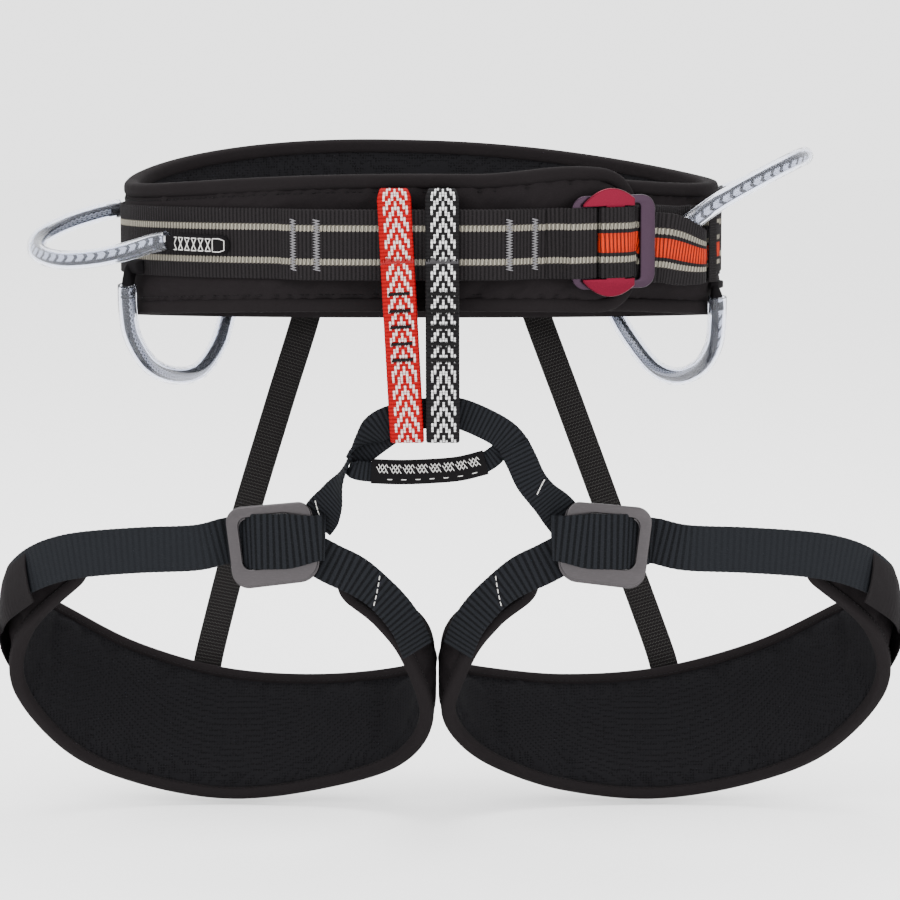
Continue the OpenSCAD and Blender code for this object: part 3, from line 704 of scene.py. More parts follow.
def end_round(t, d):
    r = TONGUE_R - d
    x = np.clip((t - BELT_END) * MM_PER_DEGREE + d + r, 0, r)
    return r - np.sqrt(r * r - x * x)


def edge_hi(t, d):
    return belt_top(t) - d - end_round(t, d)


def edge_lo(t, d):
    return belt_bottom(t) + d + end_round(t, d)


def web_z(t):
    return 6 - 4 * sind(t)


def web_lift(t):
    return 7.5 * ease(243, 252, t) * (1 - ease(282, 291, t))


def web_row(t, off):
    p = plan(t, off, web_z(t))
    return np.concatenate([p, np.broadcast_to(UP, p.shape)], -1)


def inflate(name, outer, inner, sewn, pressure, cap):
    """Cloth simulation of a pad's two skins, which stay where they are sewn down"""
    grow = 10.0                       # the cloth solver is steadier on a larger piece
    start = np.vstack([outer.reshape(-1, 3), inner.reshape(-1, 3)])
    obj = link(name, solid_mesh(name, start * MM * grow, skin_faces(*outer.shape[:2])))
    group = obj.vertex_groups.new(name="sewn")
    for k, weight in enumerate(np.concatenate([s.ravel() for s in sewn])):
        if weight > 0:
            group.add([k], float(weight), "REPLACE")
    cloth = obj.modifiers.new("cloth", "CLOTH").settings
    cloth.vertex_group_mass = "sewn"
    cloth.quality = 4
    cloth.mass = 0.3
    cloth.tension_stiffness = 12
    cloth.compression_stiffness = 8
    cloth.bending_stiffness = 0.4
    cloth.shrink_min = -0.035         # a little more cloth than pad, so that it wrinkles
    cloth.use_pressure = True
    cloth.uniform_pressure_force = pressure
    cloth.effector_weights.gravity = 0
    scene = bpy.context.scene
    for number in range(1, 17):
        scene.frame_set(number)
    done = obj.evaluated_get(bpy.context.evaluated_depsgraph_get()).to_mesh()
    moved = np.zeros(len(done.vertices) * 3)
    done.vertices.foreach_get("co", moved)
    obj.evaluated_get(bpy.context.evaluated_depsgraph_get()).to_mesh_clear()
    bpy.data.objects.remove(obj)
    scene.frame_set(1)
    shift = moved.reshape(-1, 3) / MM / grow - start
    shift *= np.minimum(1, cap / np.maximum(np.linalg.norm(shift, axis=1, keepdims=True), 1e-9))
    return (start + np.nan_to_num(shift)).reshape(2, *outer.shape)


def pad_layers(prefix, outer, inner, body):
    """Shell, foam and liner of a pad, from its two skins"""
    thick = np.linalg.norm(outer - inner, axis=-1, keepdims=True)
    shell_in, foam_out, foam_in, liner_out = (mix(outer, inner, share) for share in (
        SKIN / thick, FOAM_IN / thick, 1 - FOAM_IN / thick, 1 - SKIN / thick))
    for name, node, front, back, look in (
            ("shell_fabric", "shell", outer, shell_in, shell_look),
            ("foam_core", "foam", foam_out[::2], foam_in[::2], foam_look),
            ("mesh_lining", "liner", liner_out, inner, liner_look)):
        layer = slab(f"{prefix}_{name}", front, back, look, body, [f"{prefix}_{node}"])


def border_path(grid, rows, step, rounds):
    """Closed path round a grid of points, the way towards the pad's middle and the normals"""
    top, low, end, start = grid[:, -1], grid[:, 0], grid[-1, -2:0:-1], grid[0, 1:-1]
    core = ((top + low) / 2)[np.clip(np.arange(len(top)), rows, len(top) - 1 - rows)]
    inner = np.vstack([core, np.repeat(core[-1:], len(end), 0), core[::-1],
                       np.repeat(core[:1], len(start), 0)])
    both = resample(np.hstack([np.vstack([top, end, low[::-1], start]), inner]), step, True)
    path = soften(both[:, :3], rounds)
    inward = unit(both[:, 3:] - path)
    return path, inward, unit(np.cross(tangents(path, True), inward))


SKIN = 1.1             # thickness of a pad's outer fabric and of its lining
FOAM_IN = SKIN + 0.7   # depth of the foam under either face
SEAM_IN = 5.3          # the sewn line's distance from the tape's middle


def pad_tuck(inset):
    """How far the belt's skins draw in near its border"""
    return 1.7 * (1 - ease(3, 9, inset))


def make_belt():
    d = EDGE_IN / 2
    r = TONGUE_R - d
    last = BELT_END - d / MM_PER_DEGREE
    tip = last - (r - r * np.sin(np.radians(np.linspace(0, 90, 14)))) / MM_PER_DEGREE
    ts = np.concatenate([np.linspace(BELT_START + d / MM_PER_DEGREE, tip[0], 250)[:-1], tip])
    share = np.linspace(0, 1, 24)
    share = mix(share, 0.5 - 0.5 * np.cos(math.pi * share), 0.4)
    t = np.repeat(ts[:, None], len(share), 1)
    z = mix(edge_lo(t, d), edge_hi(t, d), share[None])
    inset = np.minimum.reduce([z - edge_lo(t, d), edge_hi(t, d) - z, (last - t) * MM_PER_DEGREE,
                               (t - ts[0]) * MM_PER_DEGREE])
    tuck = pad_tuck(inset)
    outer = plan(t, -GAP - tuck, z)
    inner = plan(t, -WAIST_T + GAP + tuck, z)
    under_web = (np.abs(z - web_z(t)) < WEB_W / 2 + 2) & (t > -12) & (t < 296)
    seam = np.where(np.abs(inset - SEAM_IN) < 0.9, 0.9, 0.0)
    edge = inset < 3.2
    sewn = np.where(edge | under_web, 1.0, seam), np.where(edge, 1.0, seam)
    outer, inner = inflate("belt_cloth", outer, inner, sewn, 1.2, 1.6)
    pad_layers("waist", outer, inner, "belt")
    path, _, normals = border_path(plan(t, -WAIST_T / 2, z), 8, 2.2, 5)
    edge_tape("waist_edge_tape", path, normals, EDGE_IN, WAIST_T, "belt", "waist_binding")
    threads = Threads(0.22, 4)
    for high in (True, False):
        def on_shell(u, v, h, high=high):
            z = edge_hi(u, d) - v if high else edge_lo(u, d) + v
            return plan(u, -GAP - pad_tuck(v) + 0.15 + h, z), plan_normal(u)

        threads.dashes(on_shell, np.arange(-8, 300, 1.25), SEAM_IN, 0.9)
    threads.build("waist_shell_stitches", black_thread, "belt")


# ------------------------ waist webbing and buckle
BUCKLE_T = 305.5
BUCKLE_Z = 10
BUCKLE_O = plan(BUCKLE_T, 0, BUCKLE_Z)
BUCKLE_N = plan_normal(BUCKLE_T)
BUCKLE_U = np.array([-BUCKLE_N[1], BUCKLE_N[0], 0])
FRAME_V = 4.6
BAR_LEFT = -12
BAR_RIGHT = 16
SLIDER_V = FRAME_V + PLATE_T + 0.4
HALF = WEB_T / 2
KEEPER_T = -19


def on_buckle(u, v, z=0.0):
    return [*(BUCKLE_O + u * BUCKLE_U + v * BUCKLE_N + z * UP), 0, 0, 1]


def make_waist_webbing():
    top_v = FRAME_V + PLATE_T + 0.6 + HALF
    fold_u = BAR_LEFT + GAP + HALF
    ts = np.concatenate([np.linspace(-9, 240, 47), np.linspace(243, 290.5, 20)])
    rows = list(web_row(ts, WEB_GAP + HALF + web_lift(ts)))
    rows += [on_buckle(*place) for place in (
        (-31, 2.4), (-28.2, 5), (-26, top_v), (-20, top_v + 0.1), (BAR_LEFT - 1, top_v),
        (fold_u, FRAME_V + PLATE_T), (fold_u, FRAME_V), (BAR_LEFT - 1, FRAME_V - 0.6 - HALF),
        (-22, FRAME_V - 0.7 - HALF))]
    belt_web = Ribbon(rows, WEB_W, WEB_T)
    belt_web.build("waist_webbing_strap", striped_look, "belt", ["waist_webbing"])
    ts = np.linspace(246.2, 291.3, 24)
    over = Ribbon(web_row(ts, WEB_GAP + WEB_T * 1.5 + 0.3 + web_lift(ts)), WEB_W - 0.6, WEB_T)
    start, end = over.nearest([-58, -110, 10]), over.nearest([31, -110, 10])
    over.relief = 0.18 - 0.1 * ease(start - 3, start + 3, over.s) * (1 - ease(end - 3, end + 3, over.s))
    over.build("tie_in_webbing_strap", tie_in_look, "belt", ["tie_in_webbing"])
    threads = Threads(0.34)
    for x in (-75.5, -63.5, 38.0, 51.5):
        place = over.s[np.argmin(np.abs(over.mid[:, 0] - x))]
        threads.zigzag(over.at, place, -13.5, 13.5, 3.8, 1.45)
    threads.build("tie_in_bar_tacks", grey_thread, "belt")


def make_strap_tail():
    low = 0.5 + HALF
    over = SLIDER_V + PLATE_T + 0.5 + HALF
    rows = [web_row(t, v + HALF) for t, v in (
        (-10, 1.2), (-14, 1.6), (KEEPER_T, 2), (-24, 2.5), (-29, 4.5), (-34, 7))]
    rows += [on_buckle(*place) for place in (
        (27, low + 0.2), (20, low), (6, low), (-3, low), (-7.6, 2.6), (-8.8, 4.6),
        (-8.9, SLIDER_V), (-8.6, SLIDER_V + PLATE_T), (-5.4, over), (0, over + 0.2), (6, over),
        (11, SLIDER_V), (14.2, 4.6), (17.6, FRAME_V - 0.6 - HALF, -2),
        (23, FRAME_V - 0.6 - HALF, -3.5), (28, FRAME_V - 0.8 - HALF, -4), (36, FRAME_V - 1.4, -5))]
    rows += [[*plan(t, off + HALF, web_z(t) + z), *UP] for t, off, z in (
        (-31.5, 16.5, -7.6), (-27, 13.8, -8.6), (-23, 5.8, -8.5), (KEEPER_T, 4.3, -7),
        (-15, 4, -6), (-12.5, 3.8, -5.5))]
    tail = Ribbon(rows, WEB_W, WEB_T, front=-1)
    tail.spread = 1 - 0.24 * ease(tail.s[-1] - 62, tail.s[-1] - 30, tail.s)
    tail.build("waist_strap_and_tail", striped_look, "belt", ["waist_strap_tail"])


def make_keeper():
    along = unit(plan(KEEPER_T + 2, 0, 0) - plan(KEEPER_T - 2, 0, 0))
    out = np.array([along[1], -along[0], 0])
    origin = plan(KEEPER_T, 0, web_z(KEEPER_T) - 1.5)
    rows = [[*(origin + x * out + z * UP), *along]
            for x, z in rounded_rect(0.8, 8.4, -21.4, 21.4, 2.6, 5)]
    band = Ribbon(rows, 8, 0.9, pitch=1.4, relief=0.1, closed=True, steps=5)
    band.build("keeper_band", keeper_look, "waist_keeper", ["waist_keeper"])


def make_waist_buckle():
    axes = (BUCKLE_U, UP, BUCKLE_N)
    frame_outline = rounded_rect(-25, 25, -25, 25, 8, 12)
    hole = rounded_rect(BAR_LEFT, BAR_RIGHT, -20.5, 20.5, 1.8, 6)
    plate("waist_buckle_plate", [frame_outline, hole], PLATE_T, 0.75,
          BUCKLE_O + FRAME_V * BUCKLE_N, axes, frame_look, "belt", "waist_buckle_frame")
    base, lobe_h, left, width = 19.2, 9.8, -19.5, 31.0
    share = 0.5 - 0.5 * np.cos(np.linspace(0, math.pi, 40))
    lobe = zip(left + width * share, base + lobe_h * np.sin(math.pi * (0.02 + 0.88 * share)) ** 0.75)
    upper = [(-6, base), (left, base), *lobe, (left + width, base), (5.5, base)]
    outline = upper + [(u, -w) for u, w in upper[::-1]]
    plate("waist_buckle_lobes", [outline[::-1]], PLATE_T, 0.8, BUCKLE_O + SLIDER_V * BUCKLE_N, axes,
          slider_look, "waist_buckle_slider", "waist_buckle_slider")


# ------------------------ belay loops
BELAY_Y = -120.6       # middle of the belay loops, front to back


def make_belay_loop(name, x, lean, look, bar, fray_look):
    """bar is the half length and height of its bar tacks"""
    radius, radius_low, thick, width = 5.4, 6.8, 2.6, 18
    crown, sag = 5, 6          # heights of the rounded ends
    top, bottom = 37.5 + thick / 2 - crown, -92.8 - thick / 2 + sag
    turn = np.linspace(0, 180, 13)
    down = np.arange(0.1, 0.95, 0.1)
    half = mix(radius, radius_low, ease(0.5, 1, down))
    path = np.vstack([
        np.stack([-cosd(turn) * radius, top + crown * sind(turn)], 1),
        np.stack([half, mix(top, bottom, down)], 1),
        np.stack([cosd(turn) * radius_low, bottom - sag * sind(turn)], 1),
        np.stack([-half - 3.5 * sind(180 * down), mix(top, bottom, down)], 1)[::-1]])
    tilt = lean * (top - path[:, 1]) / (top - bottom)
    rows = [[x + aside, BELAY_Y + y, z, -1, 0, 0] for aside, (y, z) in zip(tilt, path)]
    loop = Ribbon(rows, width, thick, pitch=2, relief=0.1, closed=True, steps=4)
    loop.spread = 1 - 0.16 * np.clip((loop.mid[:, 2] - top) / crown, 0, 1) ** 2
    loop.build(name + "_webbing", look, name, [name])

    def on_front(z):
        k = np.argmin(np.abs(loop.mid[:, 2] - z) + 50 * (loop.mid[:, 1] > BELAY_Y - 1.4))
        return loop.s[k]

    points, _ = loop.at(np.linspace(on_front(-60), on_front(1), 14), 0.0, 0.65)
    lap = Ribbon([[*p, -1, 0, 0] for p in points], width - 0.5, 1.1, pitch=2, relief=0.1)
    lap.build(name + "_lap", look, name)
    tacks = Threads(0.48)
    for z in (-15, -24, -32.5, -41.5, -50):
        u = lap.nearest([x + lean * 0.6, -128, z])
        tacks.zigzag(lap.at, u, -bar[0], bar[0], bar[1], 0.85)
    tacks.build(name + "_bar_tacks", black_thread, name)
    fray = Threads(0.3, 4)
    rng = np.random.default_rng(7)
    for v in np.arange(-8.2, 8.4, 0.5):
        reach = rng.uniform(0.8, 3.6)
        lean_out = rng.uniform(-0.5, 0.5)
        u = np.array([lap.s[-1] - rng.uniform(0.5, 1.5), lap.s[-1] - 0.05])
        base, normals = lap.at(u, v, -0.35)
        out = unit(base[1] - base[0]) * reach
        points = [*base, base[1] + out * 0.6, base[1] + out + lap.side[-1] * lean_out]
        fray.run(np.array(points), np.tile(normals[-1], (4, 1)))
    fray.build(name + "_frayed_end", fray_look, name)


# ------------------------ gear loops
GEAR_ROUTES = {
    "front_left": [[-145.2, -80.4, 9.5], [-154, -76, 7.5], [-167, -69, 3], [-186, -62, -1.5],
                   [-206, -48, -3.5], [-220, -25, -1], [-221, 0, 5], [-210, 19, 11],
                   [-194, 31, 16], [-180, 40, 19]],
    "front_right": [[130, -66.5, 14], [139, -60.5, 19], [149, -56.7, 26], [158, -54, 31.5],
                    [176, -47, 41], [194, -32, 49], [203, -8, 51], [199, 16, 47], [186, 32, 39],
                    [172, 41, 31], [160, 48, 26]],
    "rear_left": [[-169, -53, -17], [-169, -49, -31], [-167, -40, -47], [-159, -20, -64],
                  [-147, 9, -73], [-135, 40, -73], [-126, 70, -61], [-122, 94, -46],
                  [-117, 100, -33]],
    "rear_right": [[154, -34, -25], [154, -31, -37], [153, -20, -53], [147, 0, -67],
                   [136, 24, -75], [124, 49, -73], [112, 74, -60], [103, 94, -45],
                   [102, 102, -34]],
}
# Each tab's first and last angle, height and size up and down: at the loop's front and rear end
GEAR_TABS = {
    "front_left": [(220, 234.5, 8, 10.5), (154, 160, 18, 8)],
    "front_right": [(-40.5, -37, 15, 8), (23, 29, 26, 8)],
    "rear_left": [(201, 207, -7, 8), (124, 130, -22, 8)],
    "rear_right": [(-15, -10, -18.6, 5), (49, 55, -23, 8)],
}
TUBE_R = 5.2
BORE_R = 3.9
TAB_BASE = WEB_GAP + WEB_T + 0.3
TAB_T = 4.0


def round_rings(path, radius, count):
    along = tangents(path)
    side = unit(np.cross(along, [0.3, 0.2, 1]))
    a, b = circle(count)
    return sections(path, side, np.cross(along, side), radius * a, radius * b)


def make_tab(name, a, b, z, height):
    """Flat sewn tab with soft edges on the belt, from angle a to b"""
    s, w = same_shape(np.linspace(-1, 1, 26)[:, None], np.linspace(-1, 1, 12))
    narrow = (1 - np.abs(s) ** 8) ** 0.35 * 0.75 + 0.25
    edge = np.clip(1 - np.maximum(np.abs(s) ** 7, np.abs(w) ** 5), 0, 1) ** 0.5
    t = mix(a, b, (s + 1) / 2)
    zed = z + w * narrow * height / 2
    low = plan(t, TAB_BASE, zed)
    high = plan(t, TAB_BASE + 0.5 + (TAB_T - 0.5) * edge, zed)
    return slab(name, low, high, tab_look, "belt")


def make_mouth(name, a, b, z, height, path, body):
    """Webbing from a tab's end, rolled up and pushed into the tube's end"""
    ends = [plan(x, TAB_BASE + TAB_T / 2, z) for x in (a, b)]
    near = int(np.argmin([np.linalg.norm(end - path[0]) for end in ends]))
    out = unit(ends[near] - ends[1 - near])
    reach = read_rows(7.0, lengths(path), path)
    away = unit(reach - path[0])
    begin = ends[near] - out * 4
    span = np.linalg.norm(reach - begin)
    u = np.linspace(0, 1, 22)[:, None]
    line = ((2 * u ** 3 - 3 * u ** 2 + 1) * begin + (u ** 3 - 2 * u ** 2 + u) * out * span * 0.8
            + (-2 * u ** 3 + 3 * u ** 2) * reach + (u ** 3 - u ** 2) * away * span * 0.8)
    along = tangents(line)
    high = unit(UP - along * (along @ UP)[:, None])
    grow = ease(0.05, 0.75, u)
    power = 2 / mix(4.0, 2.0, grow)
    a, b = (mix(size / 2, BORE_R - 0.3, grow) * signed_pow(x, power)
            for size, x in zip((height - 1.2, TAB_T - 0.8), circle(20)))
    piece(name, sections(line, high, np.cross(along, high), a, b), tube_faces(22, 20),
          tab_look, body, bend=(begin, reach))


def make_gear_loop(side):
    body = side + "_gear_loop"
    path = resample(smooth(GEAR_ROUTES[side], 12), 1.2)
    n, sides = len(path), 24
    size = n * sides
    wall = tube_faces(n, sides, caps=False)
    faces = wall + [tuple(size + k for k in f[::-1]) for f in wall]
    for ring in (0, size - sides):
        for a, b in zip(range(sides), [*range(1, sides), 0]):
            faces.append((ring + a, ring + b, size + ring + b, size + ring + a))
    walls = np.stack([round_rings(path, TUBE_R, sides), round_rings(path, BORE_R, sides)])
    piece(side + "_gear_tube", walls, faces, tube_look, body, [side + "_gear_sleeve"])
    turn = 0 if side.endswith("left") else math.pi * CORD_R
    girth = turn + np.linspace(0, TURN * CORD_R, 17)
    piece(side + "_gear_tracer_cord", round_rings(path, CORD_R, 16), tube_faces(n, 16), cord_look,
          body, [side + "_gear_cord"], tube_uvs(lengths(path), list(zip(girth[:-1], girth[1:]))))
    for (a, b, z, height), end, route in zip(GEAR_TABS[side], ("front", "rear"), (path, path[::-1])):
        tab = make_tab(f"{side}_gear_tab_{end}", a, b, z, height)
        make_mouth(f"{side}_gear_mouth_{end}", a, b, z, height, route, body)
        if end == "front":
            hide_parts(side + "_gear_tabs")


def make_front_left_tab_stitches():
    threads = Threads(0.3)

    def surface(u, v, h):
        return plan(u, TAB_BASE + TAB_T - 0.12 + h, 8 + v), plan_normal(u)

    tip = 231.1
    for t in 220.7 + 1.85 * np.arange(6):
        for mirror in (1, -1):
            threads.line(surface, [(t + a, v * mirror) for a, v in (
                (-0.65, -3.3), (-0.25, -1.3), (0.25, 1.3), (0.65, 3.3))])
        for v in (-3.3, 3.3):
            threads.line(surface, [(t - 0.65, v), (t + 0.65, v)])
    threads.line(surface, [(tip, 3.5), (tip, -3.5)])
    threads.line(surface, [(tip, 3.5), (tip + 1.5, 3.6), (tip + 2.8, 2.6), (tip + 2.8, -2.6),
                           (tip + 1.5, -3.6), (tip, -3.5)])
    threads.build("front_left_tab_stitches", white_thread, "belt")


# ------------------------ bridge and risers
BRIDGE_ROWS = [
    [-47, -115.8, -102, 0.5, -0.7, 0.5], [-39.5, -117.6, -94.5, 0.45, -0.5, 0.7],
    [-28, -120.2, -85, 0.35, -0.1, 0.9], [-13, -120.6, -80.6, 0.1, -0.1, 1],
    [3, -120.6, -78.9, 0, 0, 1], [12.6, -120.5, -79.8, 0.15, 0, 1], [25, -119, -85, 0.45, 0, 0.9],
    [35, -116.5, -91, 0.65, 0, 0.75], [41, -115, -97.5, 0.8, 0, 0.6],
    [45.5, -113.5, -106.4, 0.88, 0, 0.4]]
LEFT_ARM_ROWS = [
    [-45.6, -114.6, -102, 0.25, -0.95, 0.1], [-47.6, -113.6, -107, 0.25, -0.95, 0.1],
    [-52, -111.4, -116.5, 0.35, -0.9, 0.0], [-57.3, -105.5, -129, 0.7, -0.6, -0.35],
    [-63, -99, -138.5, 0.85, -0.15, -0.45], [-65.5, -96.8, -142, 0.85, -0.1, -0.45]]
RIGHT_ARM_ROWS = [
    [40.9, -115.3, -97.3, 0.8, 0, 0.6], [45.4, -113.8, -106.3, 0.88, 0, 0.4],
    [49.9, -111.2, -116.3, 0.9, 0, 0.4], [55.5, -107.5, -124, 0.88, 0, 0.45],
    [62.5, -102, -131.5, 0.85, 0, 0.5], [69, -97.8, -140, 0.83, 0, 0.55],
    [71, -96.8, -143, 0.83, 0, 0.55]]
TIE_LOOP_ROWS = [
    [-22, -113, -90, 0.4, 0, 0.9], [-33, -111.6, -98, 0.4, 0, 0.9],
    [-42, -111.5, -105.2, 0.35, 0, 0.93], [-45.6, -112.6, -108.6, 0.3, 0, 0.95],
    [-42.5, -114.3, -110.6, 0.1, 0, 1], [-34, -113.8, -111.8, 0, 0, 1],
    [-20, -113.5, -112.5, 0, 0, 1], [-4, -113.5, -112, 0, 0, 1], [12, -113.5, -110.5, 0, 0, 1],
    [25, -113, -107, -0.2, 0, 1], [33, -112.5, -101, -0.5, -0.3, 0.8],
    [34, -112, -95, -0.7, -0.4, 0.5]]
SLEEVE_ROWS = [
    [-35, -115.2, -111.2, 0, 0, 1], [-20, -115.5, -111.7, 0, 0, 1], [-4, -115.5, -111.2, 0, 0, 1],
    [12, -115.5, -109.8, 0, 0, 1], [26, -115, -106.4, -0.2, 0, 1]]
LEFT_RISER_ROWS = [
    [-72, 110, -28, 1, 0, 0.1], [-78, 108.5, -52, 1, 0, 0.28], [-93, 101, -100, 1, 0, 0.3],
    [-114, 83, -170, 1, 0, 0.3], [-130, 60, -232, 1, 0, 0.3], [-134, 53.5, -252, 1, 0, 0.25],
    [-138, 45, -272, 1, 0, 0.2]]
RIGHT_RISER_ROWS = [
    [51, 117, -28, 1, 0, -0.2], [59, 114, -52, 1, 0, -0.35], [77, 104, -100, 1, 0, -0.37],
    [103, 84, -170, 1, 0, -0.37], [126, 61, -232, 1, 0, -0.37], [132, 55, -252, 1, 0, -0.3],
    [138, 45, -272, 1, 0, -0.2]]


def make_bridge():
    bridge = Ribbon(BRIDGE_ROWS, 16.5, WEB_T, pitch=2.4, relief=0.2)
    bridge.build("bridge_strap", charcoal_look, "belt", ["bridge_webbing"])
    loop = Ribbon(TIE_LOOP_ROWS, 11, WEB_T, pitch=2.2, relief=0.12)
    loop.build("lower_tie_in_strap", charcoal_look, "belt", ["lower_tie_in_loop"])
    sleeve = Ribbon(SLEEVE_ROWS, 13.4, 1.2, pitch=1.2, relief=0.04)
    sleeve.build("tie_in_wear_sleeve", sleeve_look, "belt", ["tie_in_sleeve"])
    threads = Threads(0.26)
    end = sleeve.s[-1]
    for k in range(8):
        u = mix(6, end - 6, k / 7)
        for high, shift in ((0.2, 0.5), (1.8, -0.4), (3.2, 0.6)):
            threads.zigzag(sleeve.at, high, u + shift - 2.8, u + shift + 2.4, 1.7, 2.3, across=True)
    threads.dashes(sleeve.at, np.arange(10, end - 4, 7.4), -4.0, 2.8)
    threads.build("tie_in_sleeve_stitches", white_thread, "belt")
    # Each arm with its stitched line's middle, the line's two ends across the arm and its slant
    for name, rows, spot, line, slant in (
            ("left", LEFT_ARM_ROWS, [-61.5, -102, -136.5], (-7.5, 1.5), 0.83),
            ("right", RIGHT_ARM_ROWS, [53.5, -108.5, -121], (-2, 6.8), -0.6)):
        arm = Ribbon(rows, 17, WEB_T, pitch=2.4, relief=0.2)
        arm.spread = 1 + 0.22 * ease(arm.s[-1] - 30, arm.s[-1] - 8, arm.s)
        if name == "left":
            arm.spread *= 0.25 + 0.75 * ease(3, 26, arm.s)
        ends = (np.array(rows[0][:3], float), np.array(rows[-1][:3], float))
        arm.build(name + "_bridge_strap", charcoal_look, name + "_leg_loop",
                  [name + "_bridge_arm"], bend=ends)
        threads = Threads(0.35)
        u = arm.nearest(spot)
        halfway = (line[0] + line[1]) / 2
        for v in np.linspace(line[0] + 1.2, line[1] - 1.2, 4):
            stitch = [v - 0.95, v + 0.95]
            threads.line(arm.at, [(u + slant * (w - halfway), w) for w in stitch])
        threads.build(name + "_arm_stitches", white_thread, name + "_leg_loop", bend=ends)


def make_riser(side, rows):
    riser = Ribbon(rows, RISER_W, 1.4, pitch=1.9, relief=0.08)
    ends = (np.array([-100, 100, -60.0]), np.array([-100, 70, -240.0]))
    riser.build(side + "_riser_elastic", riser_look, side + "_leg_loop", [side + "_riser"],
                bend=ends)


# ------------------------ leg loops
# Lower edge x, y, z and upper edge x, y, z, from the inner tip round the back to the outer tip
PAD_ROWS = [
    [-48, -86, -187, -46, -90, -171], [-31, -78, -203, -25, -78, -183],
    [-16, -60, -226, -10.5, -56, -198], [-6, -36, -262, -5.5, -26, -218],
    [-24, -6, -292, -9, 18, -238], [-67, 11, -309, -62, 43, -249],
    [-118, 17, -316, -120, 50, -247], [-168, 14, -307, -171, 46, -232],
    [-207, -1, -286, -208, 29, -210], [-233, -25, -247, -234, -15, -184],
    [-226, -54, -210, -226, -50, -169], [-195, -77, -179, -202, -75, -161]]
STRAP_ROWS = [
    [-237.5, -47, -188, 0.05, 0.2, 1], [-233, -60.5, -180.5, 0.05, 0.2, 1],
    [-222, -74.5, -171, 0.05, 0.15, 1], [-208, -84, -164, 0.1, 0.1, 1],
    [-190, -91.5, -159.5, 0.05, 0.05, 1], [-160, -96.5, -156.5, 0, 0.05, 1],
    [-130, -98, -155, 0, 0.05, 1]]
INNER_ROWS = [
    [-80, -96.5, -155, 0.1, 0, 1], [-67, -98.6, -158.5, 0.25, 0, 1],
    [-56, -99.2, -164, 0.32, 0, 1], [-42, -96.5, -171.5, 0.4, 0.05, 1],
    [-28, -89.5, -184, 0.6, 0.1, 0.9], [-17, -80, -199.5, 0.8, 0.2, 0.7],
    [-11, -67, -216, 0.9, 0.3, 0.45]]
POCKET_ROWS = [
    [-234.5, -19, -224, 0.05, 0.3, 1], [-240.5, -29, -208.5, 0.05, 0.3, 1],
    [-242, -39, -196.5, 0.05, 0.25, 1], [-237, -58, -185.5, 0.05, 0.2, 1],
    [-223.5, -77.5, -173, 0.05, 0.15, 1]]
LEG_BUCKLE_O = np.array([-88.5, -99, -152.2])
LEG_LEAN = 9           # degrees the plates lean in their own plane
LEG_PLATE_V = 2.2
LEG_U = unit([1, -0.14, -0.02])
LEG_V = unit(np.cross(np.cross(LEG_U, [0, -1, 0.06]), LEG_U))
LEG_W = np.cross(LEG_V, LEG_U)


def side_x(x):
    return -x * mix(1.02, 1.06, ease(60, 240, -x))


def side_of(s, p):
    """A point of the left leg loop, or its match on the right"""
    p = np.asarray(p, float)
    if s < 0:
        return p
    lift = 5 * ease(-70, -10, p[..., 0]) * ease(235, 280, -p[..., 2])
    return np.stack([side_x(p[..., 0]), p[..., 1], p[..., 2] + lift], -1)


def side_rows(s, rows):
    if s < 0:
        return [list(r) for r in rows]
    return [[side_x(r[0]), r[1], r[2], -r[3], r[4], r[5]] for r in rows]


def on_leg_buckle(u, v, w=0.0):
    return [*(LEG_BUCKLE_O + u * LEG_U + v * LEG_V + w * LEG_W), 0, 0.05, 1]


